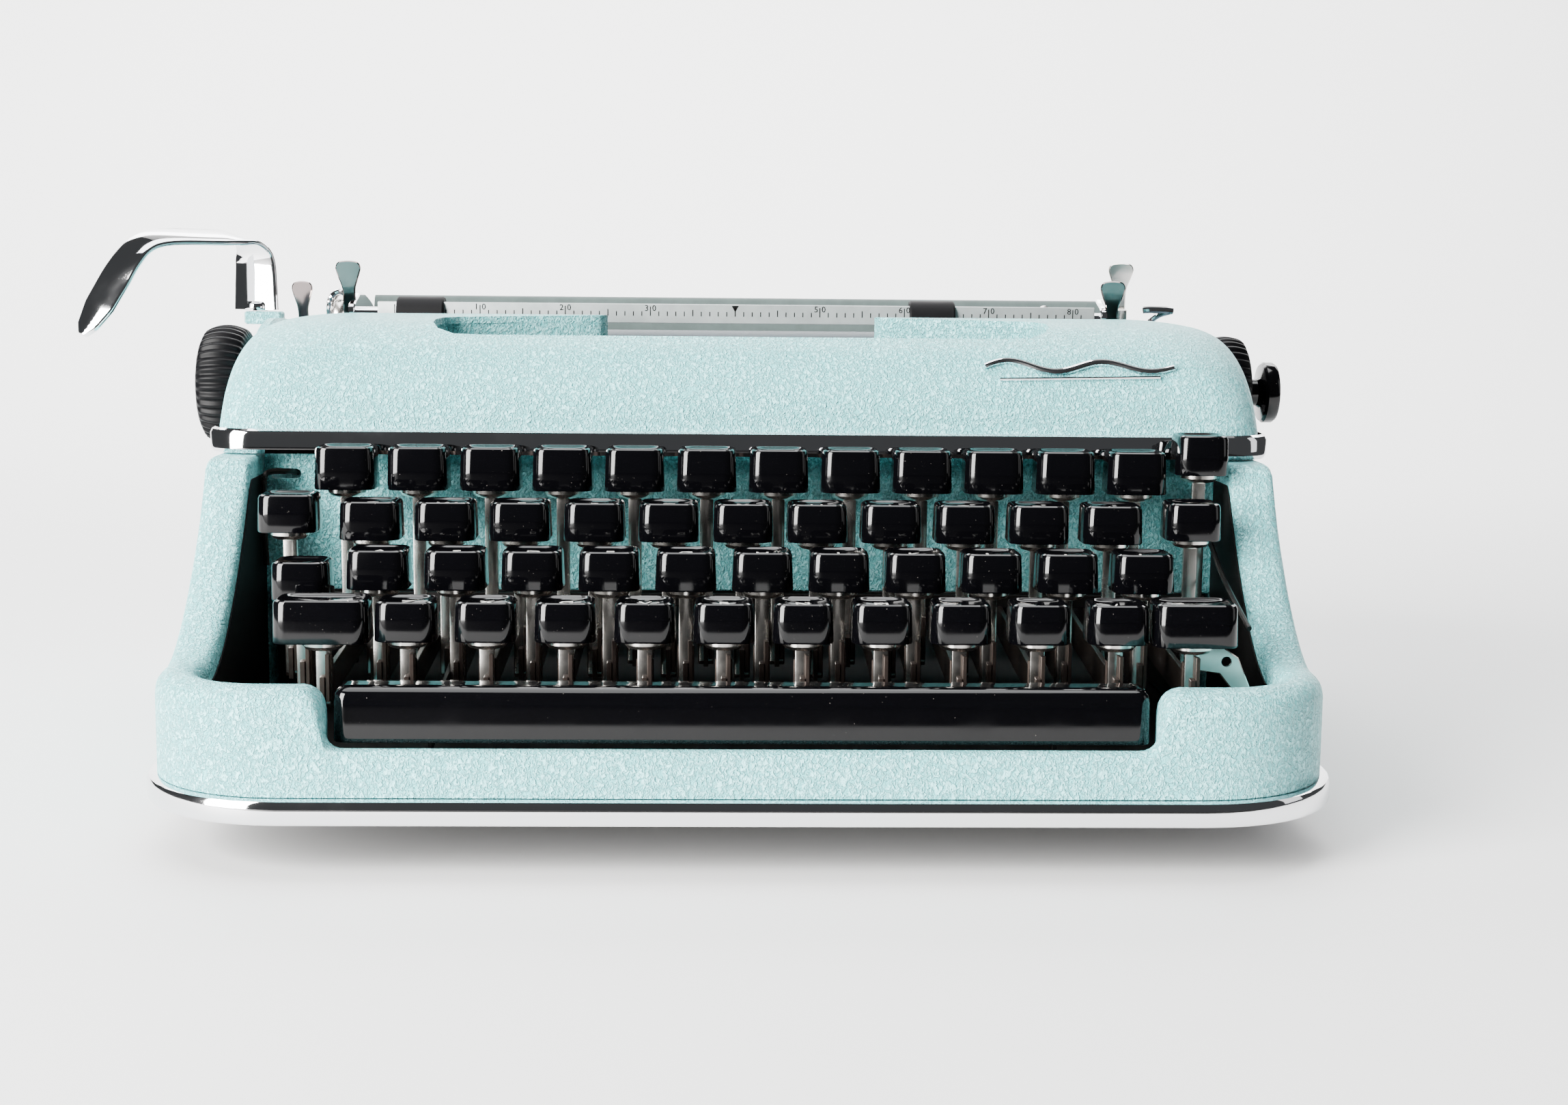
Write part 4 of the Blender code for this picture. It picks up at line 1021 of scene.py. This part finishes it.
def returnLever():
    # A strip that rises, bends over to the left and forwards, and turns down to a rounded tip.
    count, turn = 70, math.radians(216)
    line = [(0, 124.6), (0, 132), (0.2, 140), (2.4, 144.8), (7, 147), (16, 147.4), (30, 147.2)]
    path = curve(line + [(37, 145.2), (42, 140.5), (47, 133), (52, 125), (57, 117.2)], count)
    along = np.array([math.cos(turn), math.sin(turn), 0])
    points = np.array(returnFoot) + path[:, :1] * along + path[:, 1:] * np.array([0, 0, 1])
    share = np.linspace(0, 1, count)
    widths = np.interp(share, [0, 0.14, 0.3, 0.6, 0.9, 0.97, 1.0], [15.5, 14.5, 12.5, 12.0, 11.0, 7.5, 3.0])
    # The strip twists as it goes, so that its flat side stays in sight.
    foot, over, tip = (0.95, -0.31, 0), (0.56, -0.77, -0.32), (0.8, -0.5, -0.4)
    twist = [foot, foot, over, (0.56, -0.77, -0.36), tip, tip]
    stops = [0, 0.2, 0.42, 0.62, 0.8, 1.0]
    across = np.stack([np.interp(share, stops, column) for column in zip(*twist)], -1)
    return ribbonStrip(points, widths, across, 2.0, 0.8)


leverBoss = [(0.3, 124.3), (3.6, 124.3), (3.8, 125.0), (3.8, 126.4), (3.0, 127.2), (0.3, 127.4)]
leverShape = [returnLever(), lathe(leverBoss, 28, "z", returnFoot)]
piece("return_lever_strip", leverShape, chrome, "return_lever", ["return_lever"], 60)
carriageTab = [tabShape(-143.4, -136.8, 133.8, 216.5)]
carriageTab.append(brick((-141.9, 216.4, 112), (-138.3, 217.8, 119.5), 0.3))
body = "carriage_release_lever"
piece("carriage_release_tab", carriageTab, tabSteel, body, [body])
paperTab = [tabShape(120.4, 128.6, 142.0, 226)]
paperTab.append(brick((122.3, 226, 112), (126.7, 227.3, 127.0), 0.3))
body = "paper_release_lever"
piece("paper_release_tab", paperTab, nickel, body, [body])
print("carriage made")


# Floor, light and camera


def stageSheet():
    # Floor that curves up into a wall far behind.
    t = np.linspace(0, 1, 12)
    bend = np.stack([900 + 500 * np.sin(t * np.pi / 2), 500 - 500 * np.cos(t * np.pi / 2)], -1)
    line = np.concatenate([[(-2500, 0)], bend, [(1400, 3500)]])
    top = np.stack([np.zeros(len(line)), line[:, 0], line[:, 1]], -1)
    section = np.concatenate([top, (top - (0, -8, 8))[::-1]])
    return loft([section + (x, 0, 0) for x in (-950, 950)])


floor = pushMesh("studio_floor", stageSheet())
floor.data.materials.append(floorFinish())
smoothed(floor, 40)


def light(name, at, aim, size, sizeY, power, colour=(1, 1, 1)):
    data = bpy.data.lights.new(name, "AREA")
    data.shape = "RECTANGLE"
    data.size, data.size_y, data.energy, data.color = size, sizeY, power, colour
    made = bpy.data.objects.new(name, data)
    made.location = np.array(at) * 0.001 + origin
    direction = Vector(np.array(aim) * 0.001 + origin) - made.location
    made.rotation_euler = direction.to_track_quat("-Z", "Y").to_euler()
    bpy.context.scene.collection.objects.link(made)


light("window_left", (-980, -760, 430), (0, 60, 70), 0.75, 1.1, 135, (1.0, 0.99, 0.97))
light("overhead", (-150, 250, 1500), (0, 120, 0), 1.7, 1.3, 46, (0.98, 0.99, 1.0))
light("back_glow", (0, 1250, 900), (0, 1400, 300), 2.2, 0.8, 50)
light("right_fill", (1500, -100, 500), (0, 100, 60), 0.5, 0.9, 2)

world = bpy.data.worlds.new("studio")
world.use_nodes = True
world.node_tree.nodes["Background"].inputs["Color"].default_value = (0.80, 0.83, 0.86, 1)
world.node_tree.nodes["Background"].inputs["Strength"].default_value = 0.07
bpy.context.scene.world = world

cameraData = bpy.data.cameras.new("camera")
cameraData.lens = 49.4
cameraData.sensor_width = 36.0
cameraData.clip_start = 0.02
camera = bpy.data.objects.new("camera", cameraData)
place = Matrix.Translation(np.array([-5.0, -480.0, 141.5]) * 0.001 + origin)
look = Matrix.Rotation(math.radians(-1.63), 4, "Z") @ Matrix.Rotation(math.radians(82.3), 4, "X")
camera.matrix_world = place @ look @ Matrix.Rotation(math.radians(0.55), 4, "Z")
bpy.context.scene.collection.objects.link(camera)
bpy.context.scene.camera = camera
